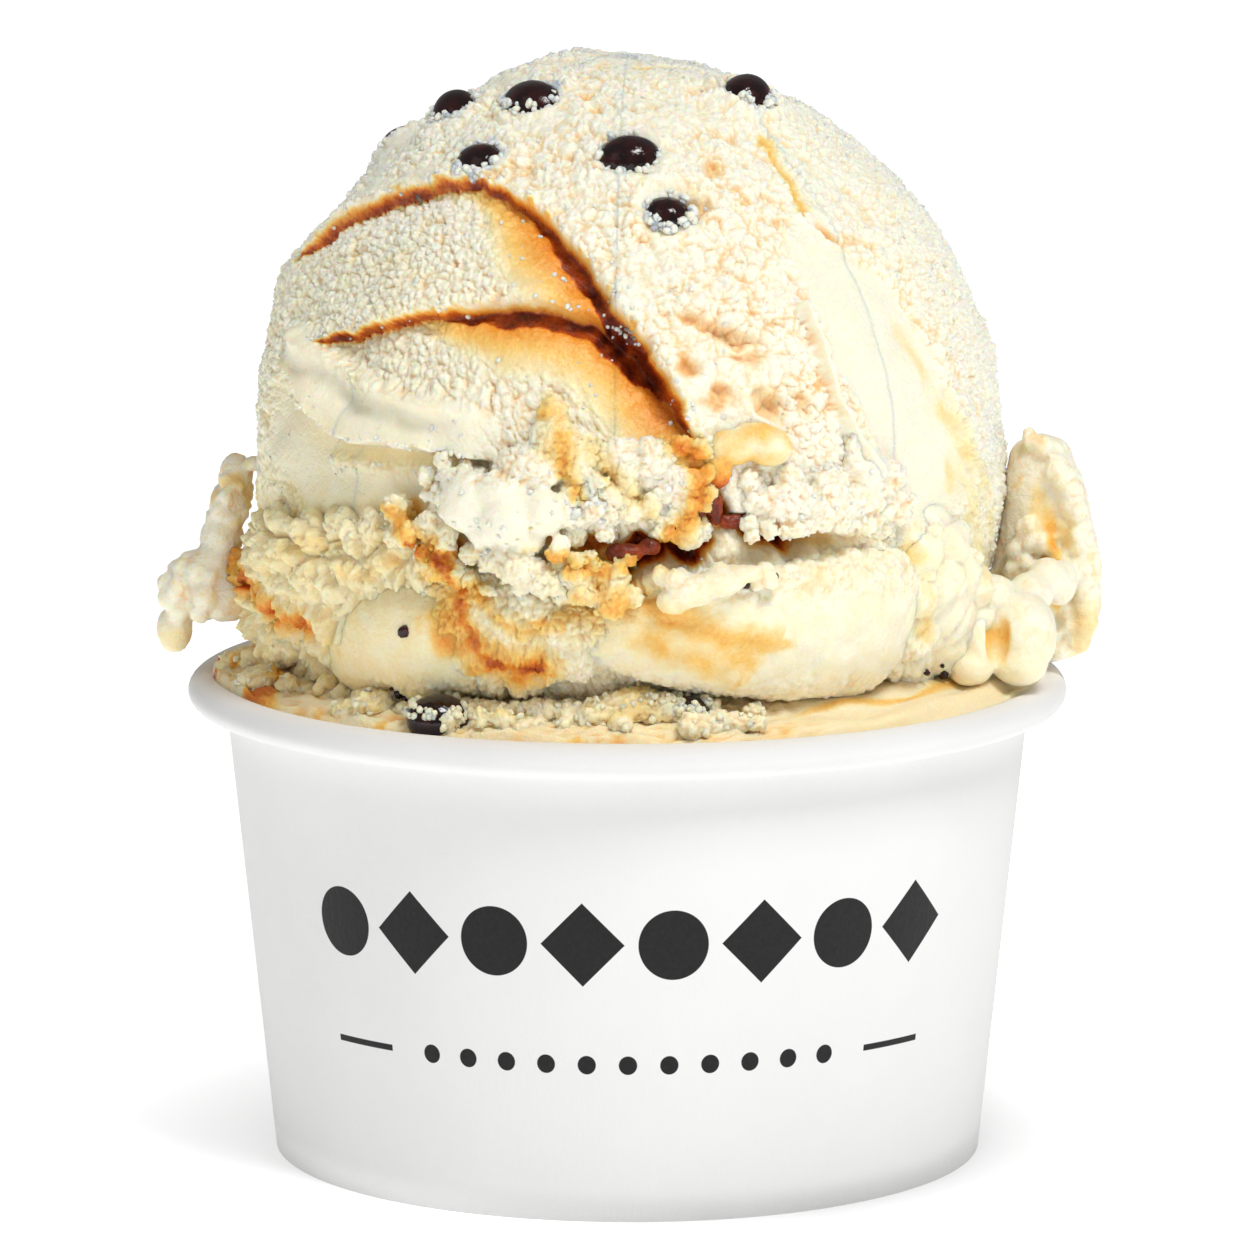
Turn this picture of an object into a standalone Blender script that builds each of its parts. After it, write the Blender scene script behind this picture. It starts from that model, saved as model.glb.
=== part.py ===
"""A small paper cup heaped with rippled gelato, with dark glossy pearls in it.

Metres, +Z up. The origin is the middle of the cup's foot, on the surface that it stands on, and -Y is
the front. The cup is a tapered paper wall with a rolled rim and a folded hem, and a bottom disc whose
skirt is held in the hem. The gelato is a fill that mounds over the rim, one big ball pressed onto it,
and three soft dollops that the ball squeezed out at its sides. Places on the ball are given as an
azimuth (0 at the front, 90 at +X) and an elevation above its middle, in degrees.
"""

import math
from itertools import pairwise

import bmesh
import bpy
from mathutils import Euler, Matrix, Vector, noise

GAP = 0.0003  # clearance that touching pieces keep

# The paper cup
RIM_RADIUS = 0.0460
RIM_HALF_WIDTH = 0.00215
RIM_HALF_HEIGHT = 0.00175
CUP_HEIGHT = 0.0504
FOOT_RADIUS = 0.0371
WALL_FLARE = 0.104  # radius that the wall gains for each metre of height
PAPER = 0.00045
HEM_HEIGHT = 0.0042
RECESS = 0.0050  # from the foot up to the underside of the bottom disc
WALL_STEPS = 44

# The fill in the cup
SEAT_HEIGHT = 0.0515  # the ball is pressed down to here
SEAT_RADIUS = 0.0310
SEAT_PRESSED = 0.0008  # how much higher the fill's middle was before that
MOUND_RISE = 0.0013
SIDE_SPREAD = 0.0019  # how far the fill bulges over the rim at the two sides
SIDE_LIFT = 0.0014

# The ball
BALL_RADIUS = 0.0400
BALL_CENTRE = Vector((0.0, 0.0, 0.0750))
BALL_SEGMENTS, BALL_RINGS = 42, 26
LEDGE_DEPTH = 0.0030
LEDGE_REACH = 16.0  # degrees below a ledge over which the scraped face comes back to the ball
LUMP_SIZE = 0.011
LUMP_HEIGHT = 0.0007

# Each ledge follows a ripple of sauce: (azimuth, elevation) points from left to right
LEDGES = (
    ((-80, 24), (-62, 40), (-35, 47), (-13, 40), (2, 22), (12, 2)),
    ((-60, 17), (-42, 22), (-16, 27), (3, 18), (12, 2)),
    ((105, 6), (130, 30), (160, 41), (190, 30), (205, 12)),
    ((120, -4), (150, 14), (180, 17), (215, -2)),
)

# Folds of gelato round the ball's foot: azimuth, distance out, height, and half-sizes along the
# circle, outwards and up
FOLDS = {
    "left": (-40, 0.0280, 0.0600, (0.0180, 0.0128, 0.0076)),
    "right": (32, 0.0280, 0.0595, (0.0210, 0.0130, 0.0072)),
    "heap": (-12, 0.0345, 0.0735, (0.0090, 0.0072, 0.0062)),
    "shoulder": (88, 0.0300, 0.0745, (0.0170, 0.0118, 0.0130)),
    "back_left": (-140, 0.0270, 0.0600, (0.0190, 0.0125, 0.0076)),
    "back_right": (135, 0.0270, 0.0610, (0.0180, 0.0125, 0.0080)),
}

# Soft dollops: each runs together from ellipsoids, given as centre and half-sizes
DOLLOPS = {
    "dollop_left": (
        ((-0.0444, -0.0030, 0.0594), (0.0052, 0.0052, 0.0048)),
        ((-0.0464, -0.0034, 0.0560), (0.0036, 0.0032, 0.0040)),
        ((-0.0422, 0.0012, 0.0634), (0.0040, 0.0050, 0.0064)),
        ((-0.0406, 0.0030, 0.0690), (0.0026, 0.0036, 0.0058)),
    ),
    "dollop_right": (
        ((0.0430, 0.0010, 0.0706), (0.0030, 0.0056, 0.0068)),
        ((0.0446, 0.0005, 0.0652), (0.0040, 0.0072, 0.0078)),
        ((0.0454, 0.0000, 0.0600), (0.0047, 0.0080, 0.0074)),
        ((0.0458, 0.0010, 0.0560), (0.0042, 0.0068, 0.0050)),
        ((0.0426, -0.0058, 0.0612), (0.0040, 0.0052, 0.0066)),
    ),
    "dollop_front_right": (
        ((0.0392, -0.0140, 0.0564), (0.0050, 0.0050, 0.0052)),
        ((0.0362, -0.0170, 0.0548), (0.0036, 0.0038, 0.0042)),
    ),
}
DOLLOP_VOXEL = 0.0006
DOLLOP_SOFTNESS = 16  # rounds of smoothing
DOLLOP_FACES_KEPT = 0.09

# Pearls on the ball: azimuth, elevation, turn of the long axis in degrees, and size against PEARL
PEARL = Vector((0.0036, 0.0029, 0.0027))
PEARL_SUNK = 0.0010
BALL_PEARLS = (
    (-37, 66, 10, 1.0),
    (-67, 61, 40, 0.9),
    (-37, 51, 5, 0.85),
    (0, 53, -5, 1.0),
    (8, 42, 20, 0.75),
    (51, 67, -30, 0.95),
    (-118, 47, 15, 0.95),
    (152, 58, -20, 1.0),
    (186, 22, 30, 0.9),
)
# Pearls in the fill: x, y, z, turn and size
FILL_PEARLS = (
    (-0.0190, -0.0345, 0.0512, 5, 0.95),
    (0.0060, -0.0360, 0.0520, -40, 0.70),
    (0.0150, 0.0360, 0.0514, 25, 0.90),
)

COLOURS = {  # colour, roughness
    "paper": ((0.86, 0.86, 0.85), 0.62),
    "gelato": ((0.93, 0.86, 0.68), 0.50),
    "gelato_fill": ((0.90, 0.76, 0.50), 0.42),
    "pearl": ((0.020, 0.008, 0.006), 0.12),
}


def clear_scene():
    for thing in list(bpy.data.objects):
        bpy.data.objects.remove(thing, do_unlink=True)


def new_collection(name):
    made = bpy.data.collections.new(name)
    bpy.context.scene.collection.children.link(made)
    return made


def new_material(name):
    """A Principled BSDF with the colour and roughness that COLOURS gives."""
    colour, roughness = COLOURS[name]
    material = bpy.data.materials.new(name)
    material.use_nodes = True
    shader = material.node_tree.nodes["Principled BSDF"]
    shader.inputs["Base Color"].default_value = (*colour, 1.0)
    shader.inputs["Roughness"].default_value = roughness
    shader.inputs["Metallic"].default_value = 0.0
    material.diffuse_color = (*colour, 1.0)
    return material


def add_object(name, mesh, collection, material=None):
    thing = bpy.data.objects.new(name, mesh)
    collection.objects.link(thing)
    if material:
        mesh.materials.append(material)
        mesh.shade_smooth()
    return thing


def as_helper(thing):
    """Keeps an object out of the finished part: it only joins or cuts others."""
    thing.hide_render = True
    thing.display_type = "WIRE"
    return thing


def evaluated_mesh(thing):
    """The mesh that an object's modifiers make, as a new mesh."""
    bpy.context.view_layer.update()
    graph = bpy.context.evaluated_depsgraph_get()
    return bpy.data.meshes.new_from_object(thing.evaluated_get(graph))


def turned_mesh(name, profile, closed, steps, collection):
    """The mesh of a profile of (radius, height) points turned once round Z."""
    mesh = bpy.data.meshes.new(name + "_profile")
    count = len(profile)
    edges = list(pairwise(range(count))) + ([(count - 1, 0)] if closed else [])
    mesh.from_pydata([(radius, 0.0, height) for radius, height in profile], edges, [])
    guide = add_object(name + "_profile", mesh, collection)
    screw = guide.modifiers.new("turn", "SCREW")
    screw.steps = screw.render_steps = steps
    screw.use_merge_vertices = True
    screw.merge_threshold = 0.00001
    turned = evaluated_mesh(guide)
    turned.name = name
    bpy.data.objects.remove(guide)
    return turned


def boolean(thing, other, operation):
    """Joins other to thing or cuts it away, and keeps the result as thing's own mesh."""
    step = thing.modifiers.new(operation.lower(), "BOOLEAN")
    step.operation = operation
    step.object = other
    made = evaluated_mesh(thing)
    thing.modifiers.remove(step)
    thing.data = made


def wall_radius(height):
    """Outside of the paper wall."""
    return FOOT_RADIUS + WALL_FLARE * height


def add_cup_wall(collection, material, helpers):
    """One strip of paper: rolled rim, tapered wall, and a hem folded up inside the foot."""
    rim_middle = (RIM_RADIUS - RIM_HALF_WIDTH, CUP_HEIGHT - RIM_HALF_HEIGHT)
    rim_points = 15
    start, end = math.radians(180), math.radians(-149)
    rim = []
    for step in range(rim_points):
        angle = start + (end - start) * step / (rim_points - 1)
        rim.append(
            (
                rim_middle[0] + RIM_HALF_WIDTH * math.cos(angle),
                rim_middle[1] + RIM_HALF_HEIGHT * math.sin(angle),
            )
        )
    groove = PAPER + 2 * GAP  # holds the bottom disc's skirt
    hem_outside = wall_radius(HEM_HEIGHT) - PAPER - groove
    foot_inside = wall_radius(0) - PAPER - groove
    hem = [
        (wall_radius(0), 0.0),
        (foot_inside - PAPER, 0.0),
        (hem_outside - PAPER, HEM_HEIGHT),
        (hem_outside, HEM_HEIGHT),
        (foot_inside, PAPER),
        (wall_radius(PAPER) - PAPER, PAPER),
    ]
    mesh = turned_mesh("cup_wall", rim + hem, True, WALL_STEPS, helpers)
    return add_object("cup_wall", mesh, collection, material)


def add_cup_bottom(collection, material, helpers):
    """A disc with its edge turned down as a skirt, which stands in the wall's hem."""
    inside = PAPER + GAP
    top = RECESS + PAPER
    foot = PAPER + GAP
    profile = [
        (0.0, top),
        (wall_radius(top) - inside, top),
        (wall_radius(foot) - inside, foot),
        (wall_radius(foot) - inside - PAPER, foot),
        (wall_radius(RECESS) - inside - PAPER, RECESS),
        (0.0, RECESS),
    ]
    mesh = turned_mesh("cup_bottom", profile, False, WALL_STEPS, helpers)
    return add_object("cup_bottom", mesh, collection, material)


def add_gelato_fill(collection, material, helpers):
    """Fills the cup from its bottom disc and mounds over the rim, further at the two sides."""
    inside = PAPER + GAP
    floor = RECESS + PAPER + GAP
    shoulder = 0.0485
    lip = 0.0495
    profile = [
        (0.0, SEAT_HEIGHT + SEAT_PRESSED),
        (SEAT_RADIUS, SEAT_HEIGHT + SEAT_PRESSED),
        (SEAT_RADIUS * 1.15, lip + MOUND_RISE * 1.8),
        (SEAT_RADIUS * 1.25, lip + MOUND_RISE * 1.3),
        (wall_radius(lip) - inside - GAP, lip + MOUND_RISE * 0.3),
        (wall_radius(lip) - inside - GAP * 2, lip),
        (wall_radius(shoulder) - inside - GAP, shoulder),
        (wall_radius(floor) - inside, floor),
        (0.0, floor),
    ]
    mesh = turned_mesh("gelato_fill", profile, False, WALL_STEPS, helpers)
    for vertex in mesh.vertices:
        place = vertex.co
        reach = math.hypot(place.x, place.y)
        if place.z <= lip or reach <= SEAT_RADIUS + GAP:
            continue
        side = min(1.0, max(0.0, abs(place.x) / reach - 0.55) / 0.35)
        outer = min(1.0, (reach - SEAT_RADIUS) / 0.008)
        uneven = noise.noise(place / LUMP_SIZE)
        lift = outer * (SIDE_LIFT * side + LUMP_HEIGHT * uneven)
        spread = 1 + outer * SIDE_SPREAD * side / reach
        place.xy *= spread
        place.z += max(lift, side * outer * SIDE_LIFT)
    return add_object("gelato_fill", mesh, collection, material)


def on_ball(azimuth, elevation, distance):
    """The point that far from the ball's centre, in that direction."""
    around, above = math.radians(azimuth), math.radians(elevation)
    outwards = Vector(
        (math.sin(around) * math.cos(above), -math.cos(around) * math.cos(above), math.sin(above))
    )
    return BALL_CENTRE + outwards * distance


def ledge_elevation(ledge, azimuth):
    """A ledge's elevation at an azimuth, or None where it doesn't reach."""
    for (left, low), (right, high) in pairwise(ledge):
        if left <= azimuth <= right:
            share = (azimuth - left) / (right - left)
            return low + (high - low) * share * share * (3 - 2 * share)
    return None


def ledge_depth(azimuth, elevation):
    """How far the gelato is scraped back below the ledges."""
    depth = 0.0
    for ledge in LEDGES:
        turned = azimuth + 360 if azimuth < ledge[0][0] else azimuth
        height = ledge_elevation(ledge, turned)
        if height is None or elevation > height:
            continue
        share = (turned - ledge[0][0]) / (ledge[-1][0] - ledge[0][0])
        depth += LEDGE_DEPTH * math.sin(math.pi * share) * math.exp((elevation - height) / LEDGE_REACH)
    return depth


def shape_ball(mesh, grow):
    """Scrapes the ledges into a sphere about the origin and makes it uneven."""
    for vertex in mesh.vertices:
        outwards = vertex.co.normalized()
        azimuth = math.degrees(math.atan2(outwards.x, -outwards.y))
        elevation = math.degrees(math.asin(max(-1.0, min(1.0, outwards.z))))
        uneven = LUMP_HEIGHT * noise.noise(vertex.co / LUMP_SIZE)
        vertex.co = outwards * (BALL_RADIUS + grow + uneven - ledge_depth(azimuth, elevation))


def ellipsoid(name, centre, half_sizes, turn, helpers, segments=18, rings=12):
    """A squashed sphere, kept as a helper that a Boolean joins or cuts."""
    mesh = bpy.data.meshes.new(name)
    shape = bmesh.new()
    bmesh.ops.create_uvsphere(shape, u_segments=segments, v_segments=rings, radius=1.0)
    scale = Matrix.Diagonal((*half_sizes, 1.0))
    bmesh.ops.transform(shape, matrix=Matrix.Translation(centre) @ turn @ scale, verts=shape.verts)
    shape.to_mesh(mesh)
    shape.free()
    return as_helper(add_object(name, mesh, helpers))


def fold_shape(fold, owner, helpers, grow):
    """One of the folds of gelato round the ball's foot, with its length along the circle."""
    azimuth, distance, height, half_sizes = FOLDS[fold]
    around = math.radians(azimuth)
    centre = Vector((math.sin(around) * distance, -math.cos(around) * distance, height))
    sizes = [half + grow for half in half_sizes]
    turn = Matrix.Rotation(around, 4, "Z")
    return ellipsoid(f"{owner}_{fold}", centre, sizes, turn, helpers)


def flat_cut(name, height, helpers):
    """A block that reaches up to this height, for cutting flat what rests there."""
    side, depth = 3 * BALL_RADIUS, BALL_RADIUS
    mesh = bpy.data.meshes.new(name)
    shape = bmesh.new()
    bmesh.ops.create_cube(shape, size=1.0)
    bmesh.ops.scale(shape, vec=(side, side, depth), verts=shape.verts)
    bmesh.ops.translate(shape, vec=(0.0, 0.0, height - depth / 2), verts=shape.verts)
    shape.to_mesh(mesh)
    shape.free()
    return as_helper(add_object(name, mesh, helpers))


def ball_shape(name, helpers, grow=0.0):
    """A scraped sphere with folds round its foot, cut flat where it rests, and larger by grow."""
    mesh = bpy.data.meshes.new(name)
    shape = bmesh.new()
    bmesh.ops.create_uvsphere(
        shape, u_segments=BALL_SEGMENTS, v_segments=BALL_RINGS, radius=BALL_RADIUS
    )
    shape.to_mesh(mesh)
    shape.free()
    shape_ball(mesh, grow)
    mesh.transform(Matrix.Translation(BALL_CENTRE))
    ball = as_helper(add_object(name, mesh, helpers))
    for fold in FOLDS:
        boolean(ball, fold_shape(fold, name, helpers, grow), "UNION")
    boolean(ball, flat_cut(name + "_under", SEAT_HEIGHT + GAP - grow, helpers), "DIFFERENCE")
    return ball


def add_dollop(name, collection, material, helpers):
    """A dollop's ellipsoids run together into one soft lump."""
    pieces = []
    for number, (centre, half_sizes) in enumerate(DOLLOPS[name]):
        label = f"{name}_{number}"
        pieces.append(ellipsoid(label, Vector(centre), half_sizes, Matrix.Identity(4), helpers))
    for other in pieces[1:]:
        boolean(pieces[0], other, "UNION")
    remesh = pieces[0].modifiers.new("run_together", "REMESH")
    remesh.mode = "VOXEL"
    remesh.voxel_size = DOLLOP_VOXEL
    smooth = pieces[0].modifiers.new("soften", "SMOOTH")
    smooth.factor = 0.5
    smooth.iterations = DOLLOP_SOFTNESS
    fewer = pieces[0].modifiers.new("fewer_faces", "DECIMATE")
    fewer.ratio = DOLLOP_FACES_KEPT
    return add_object(name, evaluated_mesh(pieces[0]), collection, material)


def socket_shape(thing, helpers):
    """A copy of a sunk piece that is larger by the gap all round, for cutting its socket."""
    socket = as_helper(add_object(thing.name + "_socket", thing.data.copy(), helpers))
    grow = socket.modifiers.new("gap", "DISPLACE")
    grow.strength = GAP * 1.2  # the faces between the corners move out a little less
    grow.mid_level = 0.0
    socket.data = evaluated_mesh(socket)
    socket.modifiers.clear()
    return socket


def pearl_matrices():
    """The place, turn and size of every pearl, by name."""
    found = {}
    for number, (azimuth, elevation, turn, size) in enumerate(BALL_PEARLS, 1):
        lean = Euler((math.radians(90 - elevation), math.radians(turn), 0.0)).to_matrix().to_4x4()
        around = Matrix.Rotation(math.radians(azimuth), 4, "Z")
        place = Matrix.Translation(on_ball(azimuth, elevation, BALL_RADIUS - PEARL_SUNK))
        found[f"pearl_ball_{number}"] = (place @ around @ lean, size)
    for number, (x, y, z, turn, size) in enumerate(FILL_PEARLS, 1):
        around = Matrix.Rotation(math.radians(turn), 4, "Z")
        found[f"pearl_fill_{number}"] = (Matrix.Translation((x, y, z)) @ around, size)
    return found


def add_pearl(name, matrix, size, collection, material):
    """A glossy pearl: a slightly flattened sphere."""
    mesh = bpy.data.meshes.new(name)
    shape = bmesh.new()
    bmesh.ops.create_icosphere(shape, subdivisions=2, radius=1.0)
    scale = Matrix.Diagonal((*(PEARL * size), 1.0))
    bmesh.ops.transform(shape, matrix=matrix @ scale, verts=shape.verts)
    shape.to_mesh(mesh)
    shape.free()
    return add_object(name, mesh, collection, material)


def build():
    clear_scene()
    parts = new_collection("gelato_cup")
    helpers = new_collection("cutters")
    paper = new_material("paper")
    gelato = new_material("gelato")
    pearl = new_material("pearl")

    add_cup_wall(parts, paper, helpers)
    add_cup_bottom(parts, paper, helpers)
    fill = add_gelato_fill(parts, new_material("gelato_fill"), helpers)
    ball = add_object("gelato_ball", ball_shape("ball", helpers).data, parts, gelato)
    boolean(fill, ball_shape("ball_seat", helpers, GAP), "DIFFERENCE")

    sunk = [add_dollop(name, parts, gelato, helpers) for name in DOLLOPS]
    for name, (matrix, size) in pearl_matrices().items():
        sunk.append(add_pearl(name, matrix, size, parts, pearl))
    for piece in sunk:
        socket = socket_shape(piece, helpers)
        boolean(ball, socket, "DIFFERENCE")
        boolean(fill, socket, "DIFFERENCE")


build()
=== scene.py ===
# %% [markdown]
# # A paper cup heaped with rippled gelato
#
# The cup is one strip of white paperboard, rolled over at the rim, with a recessed bottom disc. The
# gelato is a soft fill that mounds over the rim, and a big ball pressed onto it. A paddle tore and
# folded that ball, so it has ledges where ribbons of caramel show, a scraped patch, lobes round its
# foot, crumbs everywhere, and chocolate pearls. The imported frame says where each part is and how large.

# %% Load the frame
import math

import bmesh
import bpy
import numpy as np
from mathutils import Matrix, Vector


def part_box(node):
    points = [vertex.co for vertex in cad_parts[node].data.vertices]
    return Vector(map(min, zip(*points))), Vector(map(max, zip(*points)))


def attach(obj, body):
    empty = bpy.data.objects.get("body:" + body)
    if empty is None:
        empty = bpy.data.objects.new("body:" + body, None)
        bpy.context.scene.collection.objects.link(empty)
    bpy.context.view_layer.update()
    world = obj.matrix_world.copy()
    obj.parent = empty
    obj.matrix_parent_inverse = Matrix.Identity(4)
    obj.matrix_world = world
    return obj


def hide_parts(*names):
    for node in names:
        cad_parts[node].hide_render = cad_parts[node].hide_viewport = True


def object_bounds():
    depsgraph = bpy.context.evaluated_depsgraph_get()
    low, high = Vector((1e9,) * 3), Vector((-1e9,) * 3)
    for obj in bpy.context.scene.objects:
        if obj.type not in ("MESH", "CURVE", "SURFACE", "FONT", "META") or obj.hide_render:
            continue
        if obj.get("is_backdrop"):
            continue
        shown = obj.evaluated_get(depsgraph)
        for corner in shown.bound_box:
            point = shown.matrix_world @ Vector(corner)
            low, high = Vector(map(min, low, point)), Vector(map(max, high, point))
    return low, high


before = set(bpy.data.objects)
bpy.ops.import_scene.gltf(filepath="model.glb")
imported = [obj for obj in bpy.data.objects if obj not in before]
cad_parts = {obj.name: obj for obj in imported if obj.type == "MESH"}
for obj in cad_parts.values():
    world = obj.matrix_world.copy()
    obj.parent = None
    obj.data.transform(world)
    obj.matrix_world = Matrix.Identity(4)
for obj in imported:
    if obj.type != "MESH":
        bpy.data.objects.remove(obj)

cad_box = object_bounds()

# %% [markdown]
# ## Sizes
#
# The rim, the cup's height, the bottom disc and the top of the ball come from the frame's boxes; the
# ball's radius and the wall's foot and flare are given as numbers. The sculpting further down thinks in
# millimetres, because a crumb of 0.8 is easier to picture than one of 0.0008, and it thinks of places
# on the ball as an azimuth (0 at the front, 90 at the right side) and an elevation above the ball's middle.

# %% Driving sizes
MM = 0.001
CUP_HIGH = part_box("cup_wall")[1]
BALL_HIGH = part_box("gelato_ball")[1]
RIM_RADIUS = CUP_HIGH.x
CUP_HEIGHT = CUP_HIGH.z
BALL_RADIUS = 0.040
BALL_CENTRE = Vector((0.0, 0.0, BALL_HIGH.z - BALL_RADIUS))
BALL = BALL_RADIUS / MM
CENTRE = np.array(BALL_CENTRE) / MM
print(f"rim {2 * RIM_RADIUS / MM:.1f} mm, cup {CUP_HEIGHT / MM:.1f} mm, ball middle {CENTRE[2]:.1f} mm up")

# %% [markdown]
# ## Camera, floor and light
#
# The cup stands on a plain white floor. A long lens from well back keeps the cup's sides nearly
# parallel, as in a product picture. One large soft lamp high on the right is the key light, a weaker
# one on the left opens the shadows, and a white sky gives the rest.

# %% Camera
CAMERA_DISTANCE, CAMERA_HEIGHT_ANGLE = 0.8, math.radians(9.57)
AIM = Vector((-0.0001, 0.0, 0.0548))
camera_data = bpy.data.cameras.new("camera")
camera_data.lens = 219.3
camera_data.sensor_width = 36.0
camera_data.clip_start = 0.05
camera = bpy.data.objects.new("camera", camera_data)
bpy.context.scene.collection.objects.link(camera)
back = Vector((0.0, -math.cos(CAMERA_HEIGHT_ANGLE), math.sin(CAMERA_HEIGHT_ANGLE)))
camera.location = AIM + back * CAMERA_DISTANCE
camera.rotation_euler = (-back).to_track_quat("-Z", "Y").to_euler()
bpy.context.scene.camera = camera
print("camera at", [round(x, 3) for x in camera.location])


# %% Lamps and sky
def soft_lamp(name, place, size, watts, colour=(1.0, 1.0, 1.0)):
    """A square area lamp that looks at the middle of the cup."""
    data = bpy.data.lights.new(name, "AREA")
    data.shape = "SQUARE"
    data.size = size
    data.energy = watts
    data.color = colour
    lamp = bpy.data.objects.new(name, data)
    bpy.context.scene.collection.objects.link(lamp)
    lamp.location = place
    lamp.rotation_euler = (Vector((0, 0, 0.07)) - Vector(place)).to_track_quat("-Z", "Y").to_euler()
    return lamp


KEY_WATTS, FILL_WATTS, SKY_STRENGTH = 4.7, 0.30, 0.29
soft_lamp("key_lamp", (0.27, -0.42, 0.77), 0.26, KEY_WATTS)
soft_lamp("fill_lamp", (-0.48, -0.50, 0.60), 0.50, FILL_WATTS)
world = bpy.data.worlds.new("studio")
bpy.context.scene.world = world
world.use_nodes = True
world.node_tree.nodes["Background"].inputs["Color"].default_value = (1.0, 1.0, 1.0, 1.0)
world.node_tree.nodes["Background"].inputs["Strength"].default_value = SKY_STRENGTH
bpy.context.scene.view_settings.view_transform = "Standard"
print("lamps", KEY_WATTS, FILL_WATTS, "sky", SKY_STRENGTH)

# %% [markdown]
# ## Writing shader maths as Python
#
# A material is a graph of nodes. Written link by link it is hard to read, so this small class wraps a
# socket, and each +, -, * or / on it adds the Math node that does the sum. The other nodes come from
# one method, add, which takes the node's type, its settings and its sockets' values or links.


# %% Sockets with operators
class Socket:
    """An output socket that takes part in sums."""

    def __init__(self, tree, output):
        self.tree = tree
        self.output = output

    def math(self, operation, *others, clamp=False):
        settings = {"operation": operation, "use_clamp": clamp}
        return self.tree.add("ShaderNodeMath", settings, {0: self, **dict(enumerate(others, 1))})

    def __add__(self, other):
        return self.math("ADD", other)

    def __radd__(self, other):
        return self.math("ADD", other)

    def __mul__(self, other):
        return self.math("MULTIPLY", other)

    def __rmul__(self, other):
        return self.math("MULTIPLY", other)

    def __sub__(self, other):
        return self.math("SUBTRACT", other)

    def __rsub__(self, other):
        return self.math("MULTIPLY", -1.0) + other

    def __truediv__(self, other):
        return self.math("DIVIDE", other)

    def length(self):
        return self.tree.add("ShaderNodeVectorMath", {"operation": "LENGTH"}, {0: self}, "Value")

    def clamped(self):
        return self.math("ADD", 0.0, clamp=True)

    def between(self, low, high):
        """0 up to low, 1 from high, and a straight rise between."""
        return ((self - low) / (high - low)).clamped()


class Finish:
    """A material's node tree, with one Principled shader."""

    def __init__(self, name, **constants):
        self.material = bpy.data.materials.new(name)
        self.material.use_nodes = True
        self.tree = self.material.node_tree
        self.shader = self.tree.nodes["Principled BSDF"]
        for socket, value in constants.items():
            self.shader.inputs[socket.replace("_", " ")].default_value = value

    def add(self, kind, settings=None, sockets=None, output=0):
        node = self.tree.nodes.new(kind)
        for name, value in (settings or {}).items():
            if name == "stops":
                self.set_stops(node.color_ramp, value)
            else:
                setattr(node, name, value)
        for name, value in (sockets or {}).items():
            if isinstance(value, Socket):
                self.tree.links.new(value.output, node.inputs[name])
            else:
                node.inputs[name].default_value = value
        return Socket(self, node.outputs[output])

    @staticmethod
    def set_stops(ramp, stops):
        while len(ramp.elements) < len(stops):
            ramp.elements.new(1.0)
        for element, (position, colour) in zip(ramp.elements, stops):
            element.position = position
            element.color = (*colour, 1.0)

    def feed(self, socket, value):
        self.tree.links.new(value.output, self.shader.inputs[socket])

    def place(self):
        """Where on the object, in metres."""
        return self.add("ShaderNodeTexCoord", output="Object")

    def attribute(self, name):
        return self.add("ShaderNodeAttribute", {"attribute_name": name}, output="Fac")

    def noise(self, place, size, detail=2.0, roughness=0.5):
        sockets = {"Vector": place, "Scale": 1.0 / size, "Detail": detail, "Roughness": roughness}
        return self.add("ShaderNodeTexNoise", {}, sockets, "Fac")

    def mix(self, share, low, high):
        """A colour between two others."""
        sockets = {"Factor": share, "A": low, "B": high}
        node = self.tree.nodes.new("ShaderNodeMix")
        node.data_type = "RGBA"
        names = {"Factor": node.inputs[0], "A": node.inputs[6], "B": node.inputs[7]}
        for name, value in sockets.items():
            if isinstance(value, Socket):
                self.tree.links.new(value.output, names[name])
            elif name == "Factor":
                names[name].default_value = value
            else:
                names[name].default_value = (*value, 1.0)
        return Socket(self, node.outputs[2])

    def bump(self, height, depth, below=None):
        """Tilts the surface by a height of 0 to 1 times depth, in metres."""
        sockets = {"Height": height, "Strength": 1.0, "Distance": depth}
        if below is not None:
            sockets["Normal"] = below
        return self.add("ShaderNodeBump", {}, sockets, "Normal")


def linear(red, green, blue):
    """The linear colour of a screen colour given in 0 to 255."""
    shares = [value / 255 for value in (red, green, blue)]
    return tuple(s / 12.92 if s <= 0.04045 else ((s + 0.055) / 1.055) ** 2.4 for s in shares)


# %% [markdown]
# ## Finishes
#
# ** Gelato** is cream whipped with a little air and frozen. Light goes a millimetre or so into it,
# which is what its subsurface weight is for. Peaks are nearly white, and creases and torn pits are
# painted yellower and darker as shade, so the sculpting leaves each point's depth in an attribute for
# this painted shade. Another says how much caramel lies there, from none through gold and brown to nearly
# black, together with a pale painted warm shade on the ball's shaded left side, its lower parts and
# under the fold's lip, and a fine noise breaks its edges up.

# %% Gelato
# Caramel from none to nearly black; the palest stops also serve as painted warm shade.
CARAMEL_AND_SHADE_STOPS = (
    (0.00, linear(252, 248, 236)),
    (0.16, linear(252, 234, 188)),
    (0.32, linear(247, 202, 112)),
    (0.48, linear(236, 158, 56)),
    (0.62, linear(208, 106, 30)),
    (0.76, linear(160, 64, 18)),
    (0.88, linear(112, 36, 12)),
    (1.00, linear(60, 18, 10)),
)


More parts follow.
